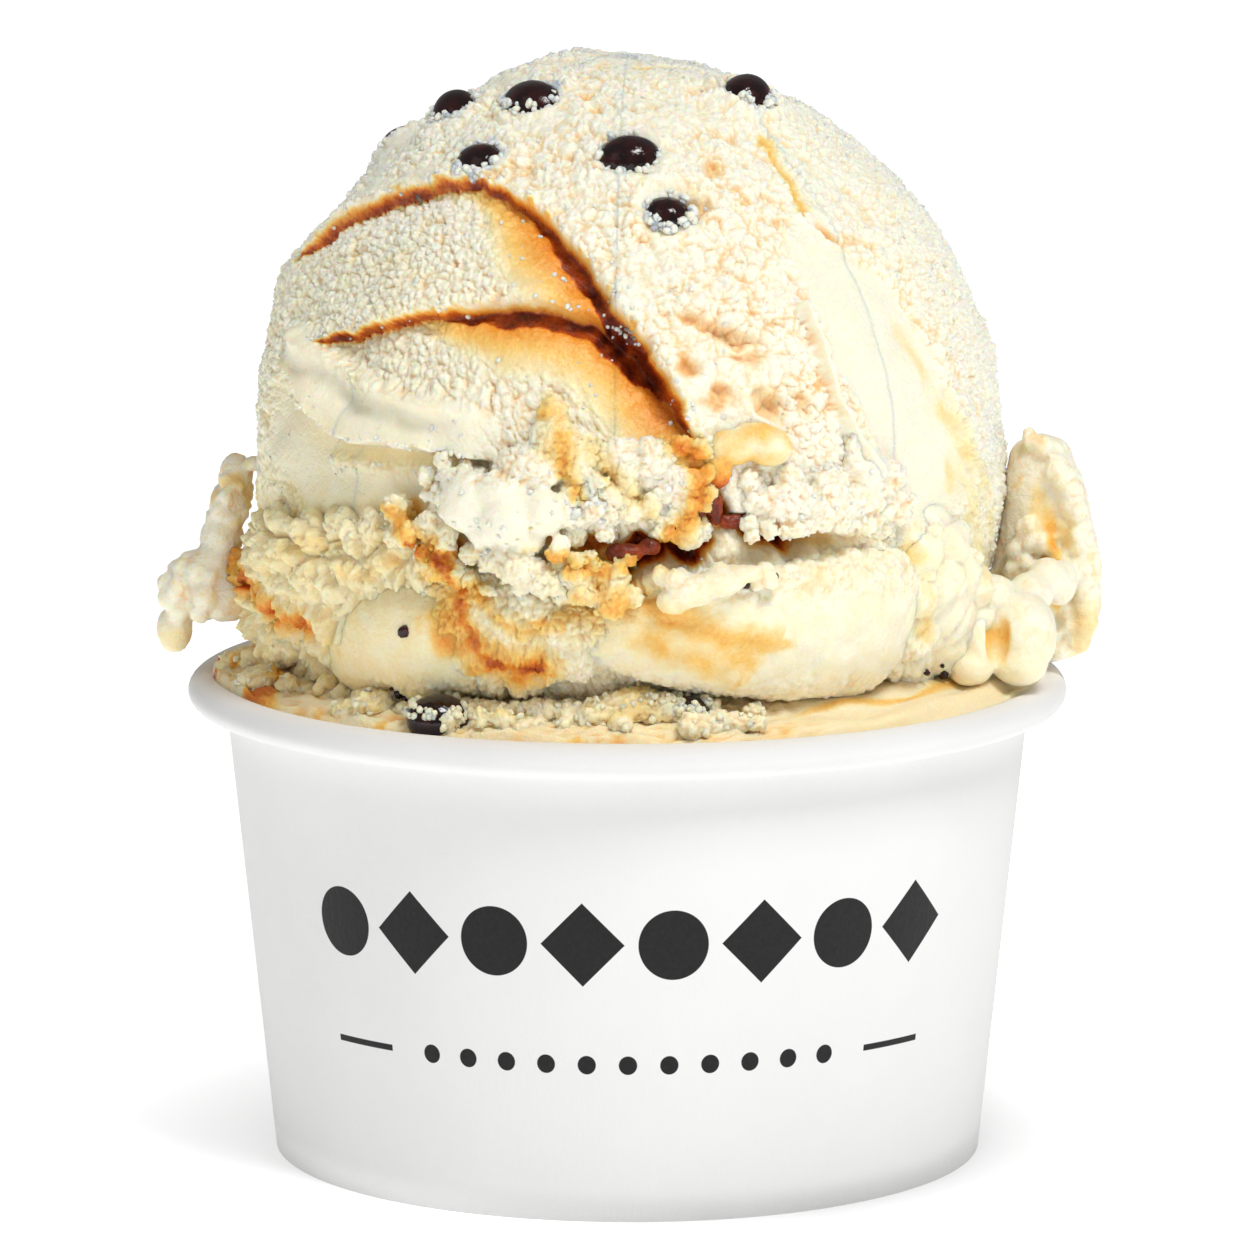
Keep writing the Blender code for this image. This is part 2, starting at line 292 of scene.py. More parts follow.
def gelato_finish(name, peak, slope_shade, pit):
    """Cream painted yellower and darker as shade the deeper a point lies, caramel and painted warm shade
    from their attribute, and a damp sheen.
    """
    made = Finish(
        name,
        IOR=1.36,
        Subsurface_Weight=0.75,
        Subsurface_Radius=(1.0, 0.62, 0.30),
        Subsurface_Scale=0.0012,
        Specular_IOR_Level=0.6,
    )
    place = made.place()
    grain = made.noise(place, 0.00045, 3.0, 0.6)
    patches = made.noise(place, 0.009, 2.0)
    # Painted shade: deep points in creases and pits take the two darker, yellower colours.
    depth = (made.attribute("pit") + (grain - 0.5) * 0.30).clamped()
    cream = made.mix(depth.between(0.0, 0.55), peak, slope_shade)
    cream = made.mix(depth.between(0.55, 1.0), cream, pit)
    # This attribute holds caramel and also a pale painted warm shade.
    sauce = made.attribute("sauce")
    speckled = (sauce + (grain - 0.5) * sauce.between(0.04, 0.4) * 0.26).clamped()
    caramel = made.add("ShaderNodeValToRGB", {"stops": CARAMEL_AND_SHADE_STOPS}, {"Fac": speckled}, "Color")
    made.feed("Base Color", made.mix(speckled.between(0.0, 0.20), cream, caramel))
    made.feed("Roughness", 0.36 - speckled * 0.14 + (patches - 0.5) * 0.15)
    fine = made.noise(place, 0.00030, 2.0, 0.65)
    coarse = made.noise(place, 0.0009, 2.0)
    made.feed("Normal", made.bump(fine, 0.00012, made.bump(coarse, 0.00016)))
    return made.material


# For both gelato finishes the second and third colours are painted shade, for creases and pits.
GELATO = gelato_finish("gelato", linear(255, 246, 227), linear(253, 222, 174), linear(247, 193, 120))
GELATO_FILL = gelato_finish(
    "gelato_fill", linear(253, 238, 204), linear(246, 208, 142), linear(232, 170, 88)
)

# %% [markdown]
# ** Chocolate pearls** are polished, so they are nearly black with a sharp highlight, and only a faint
# cloudiness keeps them from looking like glass.


# %% Chocolate pearl
def pearl_finish():
    made = Finish("pearl", IOR=1.5, Specular_IOR_Level=0.42)
    place = made.place()
    cloud = made.noise(place, 0.0016, 3.0)
    fine = made.noise(place, 0.0004, 2.0)
    made.feed("Base Color", made.mix(cloud.between(0.40, 0.75), linear(22, 5, 6), linear(58, 14, 12)))
    made.feed("Roughness", 0.09 + cloud.between(0.5, 0.8) * 0.18)
    made.feed("Normal", made.bump(fine, 0.00002, made.bump(cloud, 0.00012)))
    return made.material


PEARL = pearl_finish()

# %% [markdown]
# **Paper** is matte white board with a fine grain. Its print is black ink: an upper row in which discs
# and diamonds take turns, and a lower row of a dash, dots and a dash. The ink is worked out in the
# material from the angle round the cup and the height, so its edges are sharp at any distance.

# %% Paper and its print
WALL_RADIUS = 0.0410  # the wall's middle, where an angle is turned into a length round the cup
MOTIF_STEP, MOTIF_COUNT, MOTIF_HALF, MOTIF_HEIGHT = 0.0094, 8, 0.0036, 0.0292
DOT_STEP, DOT_COUNT, DOT_HALF, DOT_HEIGHT = 0.0044, 11, 0.00095, 0.0166
DASH_START, DASH_END, DASH_HALF = 0.0272, 0.0352, 0.00030
EDGE = 0.00006  # width over which the ink's edge fades
PRINT_RADIUS = 0.0372  # the ink lies only outside this radius, and so not on the inner wall


def paper_finish():
    made = Finish("paper", IOR=1.45, Specular_IOR_Level=0.35)
    place = made.place()
    split = made.tree.nodes.new("ShaderNodeSeparateXYZ")
    made.tree.links.new(place.output, split.inputs[0])
    x, y, z = (Socket(made, output) for output in split.outputs)
    along = x.math("ARCTAN2", y * -1.0) * WALL_RADIUS

    def row(step, count, height):
        """Place within the nearest cell of a row, the cell's number, and 1 inside the row."""
        shifted = along / step + count / 2
        number = shifted.math("FLOOR")
        across = (shifted - number - 0.5) * step
        inside = shifted.math("GREATER_THAN", 0.0) * (1 - shifted.math("GREATER_THAN", float(count)))
        return across, z - height, number, inside

    across, up, number, inside = row(MOTIF_STEP, MOTIF_COUNT, MOTIF_HEIGHT)
    from_middle = (across * across + up * up).math("SQRT")
    disc = 1 - from_middle.between(MOTIF_HALF, MOTIF_HALF + EDGE)
    slant = across.math("ABSOLUTE") + up.math("ABSOLUTE")
    diamond = 1 - slant.between(MOTIF_HALF * 1.2, MOTIF_HALF * 1.2 + EDGE * 1.4)
    odd = (number / 2.0).math("FRACT").math("GREATER_THAN", 0.25)
    motifs = (disc * (1 - odd) + diamond * odd) * inside

    across, up, number, inside = row(DOT_STEP, DOT_COUNT, DOT_HEIGHT)
    from_middle = (across * across + up * up).math("SQRT")
    dots = (1 - from_middle.between(DOT_HALF, DOT_HALF + EDGE)) * inside
    reach = along.math("ABSOLUTE")
    dash = reach.math("GREATER_THAN", DASH_START) * (1 - reach.math("GREATER_THAN", DASH_END))
    dash = dash * (1 - up.math("ABSOLUTE").between(DASH_HALF, DASH_HALF + EDGE))
    front = 1 - y.math("GREATER_THAN", 0.0)
    wall = x * x + y * y
    outside = wall.math("GREATER_THAN", PRINT_RADIUS**2)
    ink = (motifs + dots + dash).clamped() * front * outside

    grain = made.noise(place, 0.0005, 4.0, 0.65)
    cloud = made.noise(place, 0.012, 2.0)
    white = made.mix(cloud, linear(228, 228, 227), linear(235, 235, 234))
    black = made.mix(grain.between(0.3, 0.8), linear(7, 7, 8), linear(28, 28, 28))
    made.feed("Base Color", made.mix(ink, white, black))
    made.feed("Roughness", 0.58 + grain * 0.14 - ink * 0.12)
    fibre = made.add("ShaderNodeMapping", {}, {"Vector": place, "Scale": (1.0, 1.0, 0.35)})
    fibres = made.noise(fibre, 0.0007, 3.0, 0.6)
    made.feed("Normal", made.bump(grain, 0.00003, made.bump(fibres, 0.00005)))
    return made.material


PAPER = paper_finish()
print("finishes", [material.name for material in bpy.data.materials])

# %% [markdown]
# ## Modelling helpers
#
# These are the moves that every piece uses: start with nothing selected, select faces by where they
# are, apply a modifier, move vertices as arrays, and hand a finished piece over to the frame.


# %% Helpers
def deselect_all():
    bpy.ops.object.select_all(action="DESELECT")


def primitive(operator, name, **settings):
    """Adds a primitive, selected alone, with its place kept in its mesh."""
    deselect_all()
    operator(**settings)
    piece = bpy.context.object
    piece.name = piece.data.name = name
    bpy.ops.object.transform_apply(location=True, rotation=True, scale=True)
    return piece


def edit(piece, action, wanted=None, mode="FACE"):
    """Runs action in edit mode with only the wanted faces, edges or vertices selected."""
    deselect_all()
    piece.select_set(True)
    bpy.context.view_layer.objects.active = piece
    bpy.ops.object.mode_set(mode="EDIT")
    bpy.ops.mesh.select_mode(type=mode)
    bpy.ops.mesh.select_all(action="DESELECT")
    if wanted is not None:
        shape = bmesh.from_edit_mesh(piece.data)
        for item in {"FACE": shape.faces, "EDGE": shape.edges, "VERT": shape.verts}[mode]:
            item.select_set(bool(wanted(item)))
        shape.select_flush_mode()
        bmesh.update_edit_mesh(piece.data)
    action()
    bpy.ops.object.mode_set(mode="OBJECT")


def modify(piece, kind, **settings):
    """Adds a modifier and applies it."""
    deselect_all()
    piece.select_set(True)
    bpy.context.view_layer.objects.active = piece
    modifier = piece.modifiers.new(kind.lower(), kind)
    for name, value in settings.items():
        setattr(modifier, name, value)
    bpy.ops.object.modifier_apply(modifier=modifier.name)


def get_places(piece):
    """Vertex positions in millimetres."""
    flat = np.empty(len(piece.data.vertices) * 3, np.float32)
    piece.data.vertices.foreach_get("co", flat)
    return flat.reshape(-1, 3).astype(float) / MM


def set_places(piece, places):
    piece.data.vertices.foreach_set("co", (places * MM).astype(np.float32).ravel())
    piece.data.update()


def get_normals(piece):
    flat = np.empty(len(piece.data.vertices) * 3, np.float32)
    piece.data.vertex_normals.foreach_get("vector", flat)
    return flat.reshape(-1, 3).astype(float)


def set_attribute(piece, name, values):
    layer = piece.data.attributes.get(name) or piece.data.attributes.new(name, "FLOAT", "POINT")
    layer.data.foreach_set("value", np.asarray(values, np.float32))


def finish_piece(piece, material, slot, *nodes):
    """Smooth, finished, riding on the cup, and standing for its CAD nodes."""
    piece.data.materials.clear()
    piece.data.materials.append(material)
    piece.data.shade_smooth()
    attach(piece, "root")
    if nodes:
        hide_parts(*nodes)
    print(piece.name, sum(len(f.vertices) - 2 for f in piece.data.polygons), "triangles")


# %% [markdown]
# ## The paper cup
#
# A cup maker rolls one strip of board round a cone, glues its side seam, curls the top outwards into a
# rim and folds the foot in over the skirt of a bottom disc. The same outline spun once round the axis
# gives the whole strip: it starts inside the curl, goes round it, down the wall, and up inside the foot.
# The outline is drawn by extruding one vertex from point to point.

# %% The cup's outline
PAPER_THICKNESS = 0.00045
RIM_HALF_WIDTH, RIM_HALF_HEIGHT = 0.00215, 0.00175
FOOT_RADIUS = 0.0371
WALL_FLARE = 0.104  # radius that the wall gains for each metre of height
HEM_HEIGHT = 0.0042
RIM_STEPS, WALL_STEPS, TURN_STEPS = 26, 14, 192


def wall_radius(height):
    return FOOT_RADIUS + WALL_FLARE * height


def cup_outline():
    """(radius, height) from inside the curl, over the rim, down the wall and up inside the hem."""
    middle = (RIM_RADIUS - RIM_HALF_WIDTH, CUP_HEIGHT - RIM_HALF_HEIGHT)
    points = []
    for step in range(RIM_STEPS):
        angle = math.radians(-128 - 338 * step / (RIM_STEPS - 1) + 338)
        across = middle[0] + RIM_HALF_WIDTH * math.cos(angle)
        points.append((across, middle[1] + RIM_HALF_HEIGHT * math.sin(angle)))
    top = points[-1][1] - 0.0011
    for step in range(WALL_STEPS + 1):
        height = top * (1 - step / WALL_STEPS)
        points.append((wall_radius(height), height))
    inner = wall_radius(0) - 0.0016
    points.append((wall_radius(0) - 0.0003, 0.0))
    points.append((inner, 0.0))
    points.append((inner + WALL_FLARE * HEM_HEIGHT, HEM_HEIGHT))
    return points


def spin_outline(name, points, steps=TURN_STEPS):
    """Draws an outline vertex by vertex in the XZ plane and spins it once round Z."""
    piece = primitive(bpy.ops.mesh.primitive_plane_add, name, size=0.001)

    def draw():
        bpy.ops.mesh.select_all(action="SELECT")
        bpy.ops.mesh.merge(type="CENTER")
        radius, height = points[0]
        bpy.ops.transform.translate(value=(radius, 0, height))
        for (radius, height), (across, up) in zip(points, points[1:]):
            bpy.ops.mesh.extrude_vertices_move(
                TRANSFORM_OT_translate={"value": (across - radius, 0, up - height)}
            )
        bpy.ops.mesh.select_all(action="SELECT")
        turn = math.radians(360)
        bpy.ops.mesh.spin(steps=steps, angle=turn, center=(0, 0, 0), axis=(0, 0, 1))
        bpy.ops.mesh.select_all(action="SELECT")
        bpy.ops.mesh.remove_doubles(threshold=0.00001)
        bpy.ops.mesh.normals_make_consistent(inside=False)

    edit(piece, draw, mode="VERT")
    return piece


cup = spin_outline("paper_cup", cup_outline())
print("outline turned:", len(cup.data.vertices), "vertices")

# %% [markdown]
# The spun sheet has no thickness yet, and real board isn't perfect. The side seam at the back is where
# the strip overlaps itself, so a band of wall stands out by one thickness there. The curl of the rim is
# a little uneven. Then Solidify gives the board its thickness, inwards.

# %% Seam, unevenness and thickness
SEAM_HALF = 0.0035


def lay_seam(piece):
    places = get_places(piece)
    around = np.degrees(np.arctan2(places[:, 0], places[:, 1]))
    reach = np.hypot(places[:, 0], places[:, 1])
    on_wall = (places[:, 2] < CUP_HEIGHT / MM - 4.5) & (reach > FOOT_RADIUS / MM - 0.1)
    half = math.degrees(SEAM_HALF / WALL_RADIUS)
    raised = on_wall * (np.abs(around) < half) * PAPER_THICKNESS / MM * 0.6
    wobble = 0.05 * np.sin(np.radians(around * 3 + 40)) + 0.03 * np.sin(np.radians(around * 7))
    places[:, :2] *= (1 + (raised + wobble) / reach)[:, None]
    set_places(piece, places)


lay_seam(cup)
modify(cup, "SOLIDIFY", thickness=PAPER_THICKNESS, offset=-1.0)
edit(cup, lambda: (bpy.ops.mesh.select_all(action="SELECT"), bpy.ops.mesh.normals_make_consistent()))
finish_piece(cup, PAPER, "paper", "cup_wall")

# %% [markdown]
# The bottom disc is a separate piece of board. Its edge is turned down as a skirt that the hem holds.

# %% The bottom disc
DISC_LOW, DISC_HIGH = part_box("cup_bottom")


def bottom_outline():
    """(radius, height) from the middle of the disc's top out to the skirt and back underneath."""
    top, low = DISC_HIGH.z, DISC_LOW.z
    edge = wall_radius(top) - PAPER_THICKNESS - 0.0003
    skirt = wall_radius(low) - PAPER_THICKNESS - 0.0003
    round_off = 0.0005
    return [
        (0.0, top),
        (edge - 0.012, top - 0.0001),
        (edge - round_off, top),
        (edge, top - round_off),
        (skirt, low),
        (skirt - PAPER_THICKNESS, low),
        (edge - PAPER_THICKNESS, top - round_off - PAPER_THICKNESS / 2),
        (edge - 0.0012, top - PAPER_THICKNESS),
        (edge - 0.012, top - PAPER_THICKNESS - 0.0001),
        (0.0, top - PAPER_THICKNESS),
    ]


disc = spin_outline("bottom_disc", bottom_outline())
finish_piece(disc, PAPER, "paper", "cup_bottom")

# %% [markdown]
# ## Noise to sculpt with
#
# Torn gelato is lumps on lumps. Two noises make it. Lumps is the soft kind: arrows point in random
# directions at the corners of a lattice, and a place takes a share of each. Apart gives the distances
# to the nearest two of many scattered grains. Where they are equal a crease runs, and away from it a
# round crumb rises. Both take all places at once as an array, which is what makes them fast.

# %% Lumps and grains
SHUFFLED = np.random.default_rng(11).permutation(256)
ARROWS = np.random.default_rng(12).normal(size=(256, 3))
ARROWS /= np.linalg.norm(ARROWS, axis=1, keepdims=True)
SPOTS = np.random.default_rng(13).random((256, 3))


def drawn(cell, salt):
    """A number from 0 to 255 for each lattice cell, always the same for the same cell."""
    number = SHUFFLED[(cell[..., 0] + salt) % 256]
    number = SHUFFLED[(number + cell[..., 1]) % 256]
    return SHUFFLED[(number + cell[..., 2]) % 256]


def lumps(places, size, salt=0):
    """Soft lumps about this size, from about -1 to 1."""
    at = places / size
    cell = np.floor(at).astype(int)
    part = at - cell
    ease = part * part * (3 - 2 * part)
    total = np.zeros(len(at))
    for corner in np.ndindex(2, 2, 2):
        arrow = ARROWS[drawn(cell + corner, salt)]
        share = np.prod(np.where(corner, ease, 1 - ease), axis=1)
        total += share * np.einsum("ij,ij->i", arrow, part - corner)
    return 1.6 * total


def apart(places, size, salt=0):
    """Distances to the nearest two of many scattered grains, in grain sizes."""
    at = places / size
    cell = np.floor(at).astype(int)
    first = np.full(len(at), 9.0)
    second = np.full(len(at), 9.0)
    for step in np.ndindex(3, 3, 3):
        other = cell + np.array(step) - 1
        gap = at - other - SPOTS[drawn(other, salt)]
        gap = np.einsum("ij,ij->i", gap, gap)
        second = np.where(gap < first, first, np.minimum(second, gap))
        first = np.minimum(first, gap)
    return np.sqrt(first), np.sqrt(second)


def rise(values, low, high):
    """0 up to low, 1 from high, and an easy rise between."""
    share = np.clip((values - low) / (high - low), 0.0, 1.0)
    return share * share * (3 - 2 * share)


def hill(values, width):
    """1 at 0, falling to almost nothing at twice the width on both sides."""
    return np.exp(-((values / width) ** 2))


def nodules(places, size, salt=0):
    """Round crumbs about this size: near 1 on their tops, 0 in the creases between them."""
    first, second = apart(places, size, salt)
    share = np.clip((second - first) / 0.55, 0, 1)
    return np.sqrt(1 - (1 - share) ** 2) * (1 - 0.7 * first**2)


def crumble(places, size, salt=0, drag=None, stretch=2.5):
    """Torn relief: up to 1 on its round crumbs, about -1 in creases, lower still in its holes."""
    if drag is not None:
        along = np.asarray(drag, float) / np.linalg.norm(drag)
        places = places - np.outer(places @ along, along) * (1 - 1 / stretch)
    push = np.stack([lumps(places, 1.9 * size, salt + k) for k in range(3)], axis=1)
    places = places + 0.5 * size * push
    big = nodules(places, 1.7 * size, salt + 3)
    small = nodules(places, 0.78 * size, salt + 4)
    holes = rise(lumps(places, 2.6 * size, salt + 5), 0.22, 0.58)
    return 1.0 * big + 0.7 * small - 0.85 - 0.6 * holes


# %% [markdown]
# ## Lines on the ball
#
# The ribbons of caramel, the fold's lip and the lobes' outlines all run over the ball. Each is a few
# points of azimuth and elevation with a smooth curve through them. Beside tells how far along a line
# each vertex lies and how far to its left, which is up for a line that runs to the right.


# %% Lines
def on_ball(azimuth, elevation, distance=BALL):
    """Places about the ball's middle, in millimetres, from angles in degrees."""
    around, above = np.radians(azimuth), np.radians(elevation)
    flat = np.cos(above)
    return np.stack(
        [np.sin(around) * flat, -np.cos(around) * flat, np.sin(above)], axis=-1
    ) * np.asarray(distance)[..., None]


def directions(places):
    """Azimuth and elevation of places about the ball's middle."""
    reach = np.linalg.norm(places, axis=1)
    azimuth = np.degrees(np.arctan2(places[:, 0], -places[:, 1]))
    return azimuth, np.degrees(np.arcsin(np.clip(places[:, 2] / reach, -1, 1)))


def smooth_path(points, steps=24):
    """A smooth curve through points."""
    points = np.array(points, float)
    padded = np.vstack([2 * points[0] - points[1], points, 2 * points[-1] - points[-2]])
    t = np.linspace(0, 1, steps, endpoint=False)[:, None]
    parts = []
    for a, b, c, d in zip(padded, padded[1:], padded[2:], padded[3:]):
        bend = (2 * a - 5 * b + 4 * c - d) * t**2 + (3 * b - a - 3 * c + d) * t**3
        parts.append(0.5 * (2 * b + (c - a) * t + bend))
    return np.vstack([*parts, points[-1:]])


def line(*points):
    """A smooth line on the ball through (azimuth, elevation) points."""
    path = smooth_path(points)
    return on_ball(path[:, 0], path[:, 1])


def beside(places, path):
    """How far along the path (0 to 1) and how far to its left (in mm) each place is."""
    places = places / np.linalg.norm(places, axis=1, keepdims=True) * BALL
    ahead = np.gradient(path, axis=0)
    left = np.cross(path, ahead)
    left /= np.linalg.norm(left, axis=1, keepdims=True)
    nearest = np.argmax(places @ path.T, axis=1)
    gap = places - path[nearest]
    across = np.einsum("ij,ij->i", gap, left[nearest])
    length = np.linalg.norm(gap, axis=1)
    at_end = (nearest == 0) | (nearest == len(path) - 1)
    across = np.where(at_end, np.where(across < 0, -length, length), across)
    steps = np.r_[0, np.cumsum(np.linalg.norm(np.diff(path, axis=0), axis=1))]
    return steps[nearest] / steps[-1], across


RIPPLE_1 = line((-79, 28), (-70, 36), (-60, 41.5), (-48, 45), (-38, 46.5), (-29, 46), (-22, 44),
                (-15, 40.5), (-9, 36), (-5, 31.5), (-1, 26), (3, 21), (7, 14), (10, 5))
RIPPLE_2 = line((-57, 18.5), (-42, 22.7), (-31, 25.2), (-21, 27.3), (-13, 27.5), (-6, 25.9),
                (-1, 23), (3, 18.9), (7, 13), (10, 5))
LIP = line((-68, 15), (-60, 12), (-53, 8.2), (-48.6, 6), (-44, 5), (-38, 5.2), (-30, 4.8), (-18, 3.5))
FOLD_TOP = line((-66, 20), (-60, 17.8), (-51, 16.2), (-43, 13.9), (-36, 12.4), (-28, 11), (-20, 8.7))
COLUMN_CRUMBS = line((-53, 1.8), (-46, 1.3), (-38, 1.9), (-30, 1.4), (-25, 2.6))
RIDGE = line((28.6, 27), (30.4, 20), (31.4, 14), (33.7, 7.7), (38, 1.4))
SCRAPED = line((31, 40), (38, 31), (43, 23), (47, 14), (50, 5), (54, -8))
STREAK = line((41, 58), (40, 52), (39, 47), (38, 42))
TOP_STREAK = line((-20, 80), (40, 84), (70, 80), (78, 74))
RIPPLE_3 = line((104, 36), (120, 33), (136, 26), (148, 16), (156, 4))
RIPPLE_4 = line((176, 2), (190, 17), (206, 25), (222, 25), (236, 19), (246, 8))
print("ripple 1 is", round(float(np.linalg.norm(np.diff(RIPPLE_1, axis=0), axis=1).sum())), "mm long")

# %% [markdown]
# ## Stains
#
# Caramel that was stirred in shows as soft stains, wherever a lobe or the ball cuts through it. Each
# stain is a line with a width and a strength, and every piece of gelato looks up the same list, so that
# a swirl runs on from one piece to the next. The same lookup paints a pale warm shade over the ball's
# shaded left side and its lower parts.

# %% Stains
STAINS = (  # line, half-width in mm, strength
    (line((-31, -8), (-26.5, -10), (-25, -15), (-23.5, -20), (-20, -24.5), (-13, -25)), 1.3, 0.60),
    (line((-27, -12), (-25.5, -19), (-21, -24), (-12, -25)), 3.5, 0.42),
    (line((-22, -13), (-19, -17), (-14, -19), (-9, -18)), 1.5, 0.34),
    (line((-36, -4), (-31, -6.5), (-27, -8.4)), 1.7, 0.36),
    (line((-84, -17), (-76, -19), (-68, -21), (-60, -23), (-54, -22)), 1.9, 0.50),
    (line((-92, -13), (-82, -16), (-74, -20), (-66, -24)), 3.0, 0.27),
    (line((-58, -22), (-50, -24), (-44, -29), (-36, -31)), 1.3, 0.20),
    (line((-6, -13), (2, -15.5), (8, -17.5), (15, -20.5), (22, -21.5)), 2.6, 0.29),
    (line((-8, -17), (2, -20), (11, -22.5), (18, -24)), 3.8, 0.25),
    (line((-54, -10), (-47, -12), (-41, -13), (-35, -11)), 3.2, 0.20),
    (line((50, 22), (54, 13), (60, 5), (66, -3), (76, -14), (84, -22)), 2.2, 0.16),
    (line((58, 0), (64, -10), (72, -20)), 3.6, 0.17),
    (line((46, -10), (48, -16), (52, -24)), 1.6, 0.20),
    (line((-14, -4), (-8, -9), (-2, -10)), 1.5, 0.34),
    (line((-12, 13), (-9, 8), (-8, 3), (-7, 0)), 1.5, 0.30),
    (line((-6, 7), (-2, 2), (3, -3)), 2.2, 0.20),
    (line((6, 8), (10, 4), (9, -3), (4, -8), (-1, -9)), 1.8, 0.40),
    (line((150, -8), (165, -18), (185, -20)), 2.2, 0.42),
    (line((205, -12), (222, -22), (240, -20)), 1.8, 0.46),
    (line((104, 20), (110, 4), (112, -14)), 1.8, 0.26),
)


def stains_and_shade(places):
    """How much caramel, with a pale painted warm shade, lies at places about the ball's middle, from 0 to
    1.
    """
    uneven = lumps(places, 2.2, 51)
    ragged = 0.55 * lumps(places, 0.9, 52) + 0.5 * uneven
    azimuth, elevation = directions(places)
    # Painted warm shade: a faint tint on the ball's shaded left side below its upper dome, and more over
    # its lower parts; the small base and the uneven part are the cream's own tone.
    sauce = 0.03 + 0.07 * rise(-azimuth, -2, 45) * (1 - rise(elevation, 30, 46)) * rise(azimuth, -150, -95)
    sauce += 0.08 * (1 - rise(elevation, -12, 4)) + 0.04 * uneven
    blotches = 0.72 + 0.28 * rise(lumps(places, 3.2, 53), -0.35, 0.25)
    for path, half, strength in STAINS:
        along, across = beside(places, path)
        ends = np.where((along <= 0) | (along >= 1), 0.6, 1.0)
        share = hill(across + ragged, half * ends)
        sauce = np.maximum(sauce, strength * share * blotches * (1.15 + 0.45 * uneven))
    return np.clip(sauce, 0, 1)


# %% [markdown]
# ## The ball
#
# The ball starts as a fine sphere of triangles. It is made in five wedges, so that each can be fine
# enough for crumbs without growing heavy. Every wedge runs on a little past its seam, sinking as it
# goes, so its neighbour covers its edge and the seam doesn't show. The relief is worked out for all
# vertices at once: the ledges below the ripples, the fold's lip, the smooth column, the scraped patch
# with its ridge, torn pits, and crumbs over all that wasn't scraped.

# %% Pits and cavities
PITS = (  # azimuth, elevation, length, width, turn in degrees, depth in mm
    (11.2, 24.6, 2.2, 0.8, -25, 0.9),
    (16.5, 22.0, 2.4, 0.9, -20, 1.3),
    (21.0, 12.0, 1.9, 1.0, -35, 1.5),
    (13.5, 13.5, 1.6, 1.0, 20, 1.0),
    (18.0, 19.0, 1.7, 0.8, -15, 0.9),
    (9.0, 17.5, 1.3, 0.9, 30, 1.0),
    (26.0, 12.0, 1.6, 0.8, -60, 0.8),
    (13.7, 42.5, 1.5, 1.2, 40, 1.3),
    (20.0, 50.5, 1.6, 0.9, 70, 0.9),
    (38.0, 52.5, 0.8, 0.7, 0, 0.4),
    (-6.5, 30.5, 0.8, 0.6, -50, 0.4),
    (42.0, 38.5, 2.0, 0.7, -40, 0.6),
)
CAVITIES = (  # azimuth, elevation, length, width, turn, depth, caramel
    (23.5, -7.6, 3.8, 1.8, 0, 6.5, 1.0),
    (29.5, -8.6, 2.6, 1.2, 8, 3.5, 0.25),
    (12.0, -2.5, 1.6, 2.6, 10, 3.0, 0.76),
    (17.0, -5.5, 1.8, 1.3, -20, 3.6, 0.88),
    (2.0, -9.6, 3.8, 1.8, 12, 4.0, 0.90),
    (9.0, -8.0, 2.4, 1.8, 0, 3.6, 0.90),
    (-5.0, -7.5, 2.0, 1.2, 20, 2.4, 0.55),
)


def dented(places, azimuth, elevation, length, width, turn):
    """1 in the middle of an oval dent on the ball, 0 outside it."""
    middle = on_ball(azimuth, elevation, 1.0)
    across = np.cross((0, 0, 1), middle)
    across /= np.linalg.norm(across)
    up = np.cross(middle, across)
    angle = math.radians(turn)
    gap = places - middle * BALL
    right, high = gap @ across, gap @ up
    along = right * math.cos(angle) + high * math.sin(angle)
    aside = high * math.cos(angle) - right * math.sin(angle)
    near = places @ middle > 0
    return near * np.exp(-((along / length) ** 2 + (aside / width) ** 2) ** 1.5)


# %% Ripples
LEDGE_DEPTH, LEDGE_RUN = 2.1, 6.0  # mm that a ledge is set back, and over which it comes out again


def ripple(places, path, torn, dark_from, dark_to, gold_from, gold_to, width):
    """Height, caramel and smoothness of one ripple and of the ledge below it."""
    along, above = beside(places, path)
    above = above + 0.06 * torn + 0.50 * lumps(places, 2.4, 21) + 0.14 * lumps(places, 0.9, 22)
    below = -above
    fade = rise(along, 0.0, 0.10) * (1 - rise(along, 0.90, 1.0))
    height = -LEDGE_DEPTH * fade * rise(below, -0.35, 0.35) * np.exp(-np.maximum(below, 0) / LEDGE_RUN)
    height += 0.4 * fade * hill(above - 0.9, 1.0)
    bold = rise(along, dark_from - 0.12, dark_from + 0.08) * (1 - rise(along, dark_to, dark_to + 0.06))
    half = 0.18 + (width - 0.18) * bold
    core = hill(np.maximum(np.abs(below - half * 0.8) - half * 0.40, 0), 0.22 + 0.33 * bold)
    patchy = 0.92 + 0.22 * lumps(places, 1.5, 23)
    dark = core * (0.78 + 0.14 * bold) * patchy * rise(along, 0.0, 0.03)
    rim = 0.40 * hill(above - 0.2, 0.40) * rise(lumps(places, 1.3, 24), 0.0, 0.5)
    glow = rise(along, gold_from - 0.15, gold_from + 0.10) * (1 - rise(along, gold_to, 1.0) * 0.5)
    reach = 1.1 + 5.4 * glow
    gold = rise(below, -0.2, 0.3) * np.exp(-((np.maximum(below, 0) / reach) ** 2)) * (0.30 + 0.26 * glow)
    gold *= rise(along, 0.0, 0.05)
    smooth = glow * rise(below, -0.3, 0.4) * (1 - rise(below, reach * 0.8, reach * 1.4))
    smooth = np.maximum(smooth, bold * core)
    height -= 0.8 * bold * hill(below - half * 0.7, half)
    return height, np.maximum(np.maximum(dark, rim * fade), gold), smooth


# %% The ball's relief
def node_corners(node):
    """The corners of a CAD node, in mm."""
    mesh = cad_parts[node].data
    corners = np.array([vertex.co for vertex in mesh.vertices]) / MM
    return np.unique(corners.round(4), axis=0)


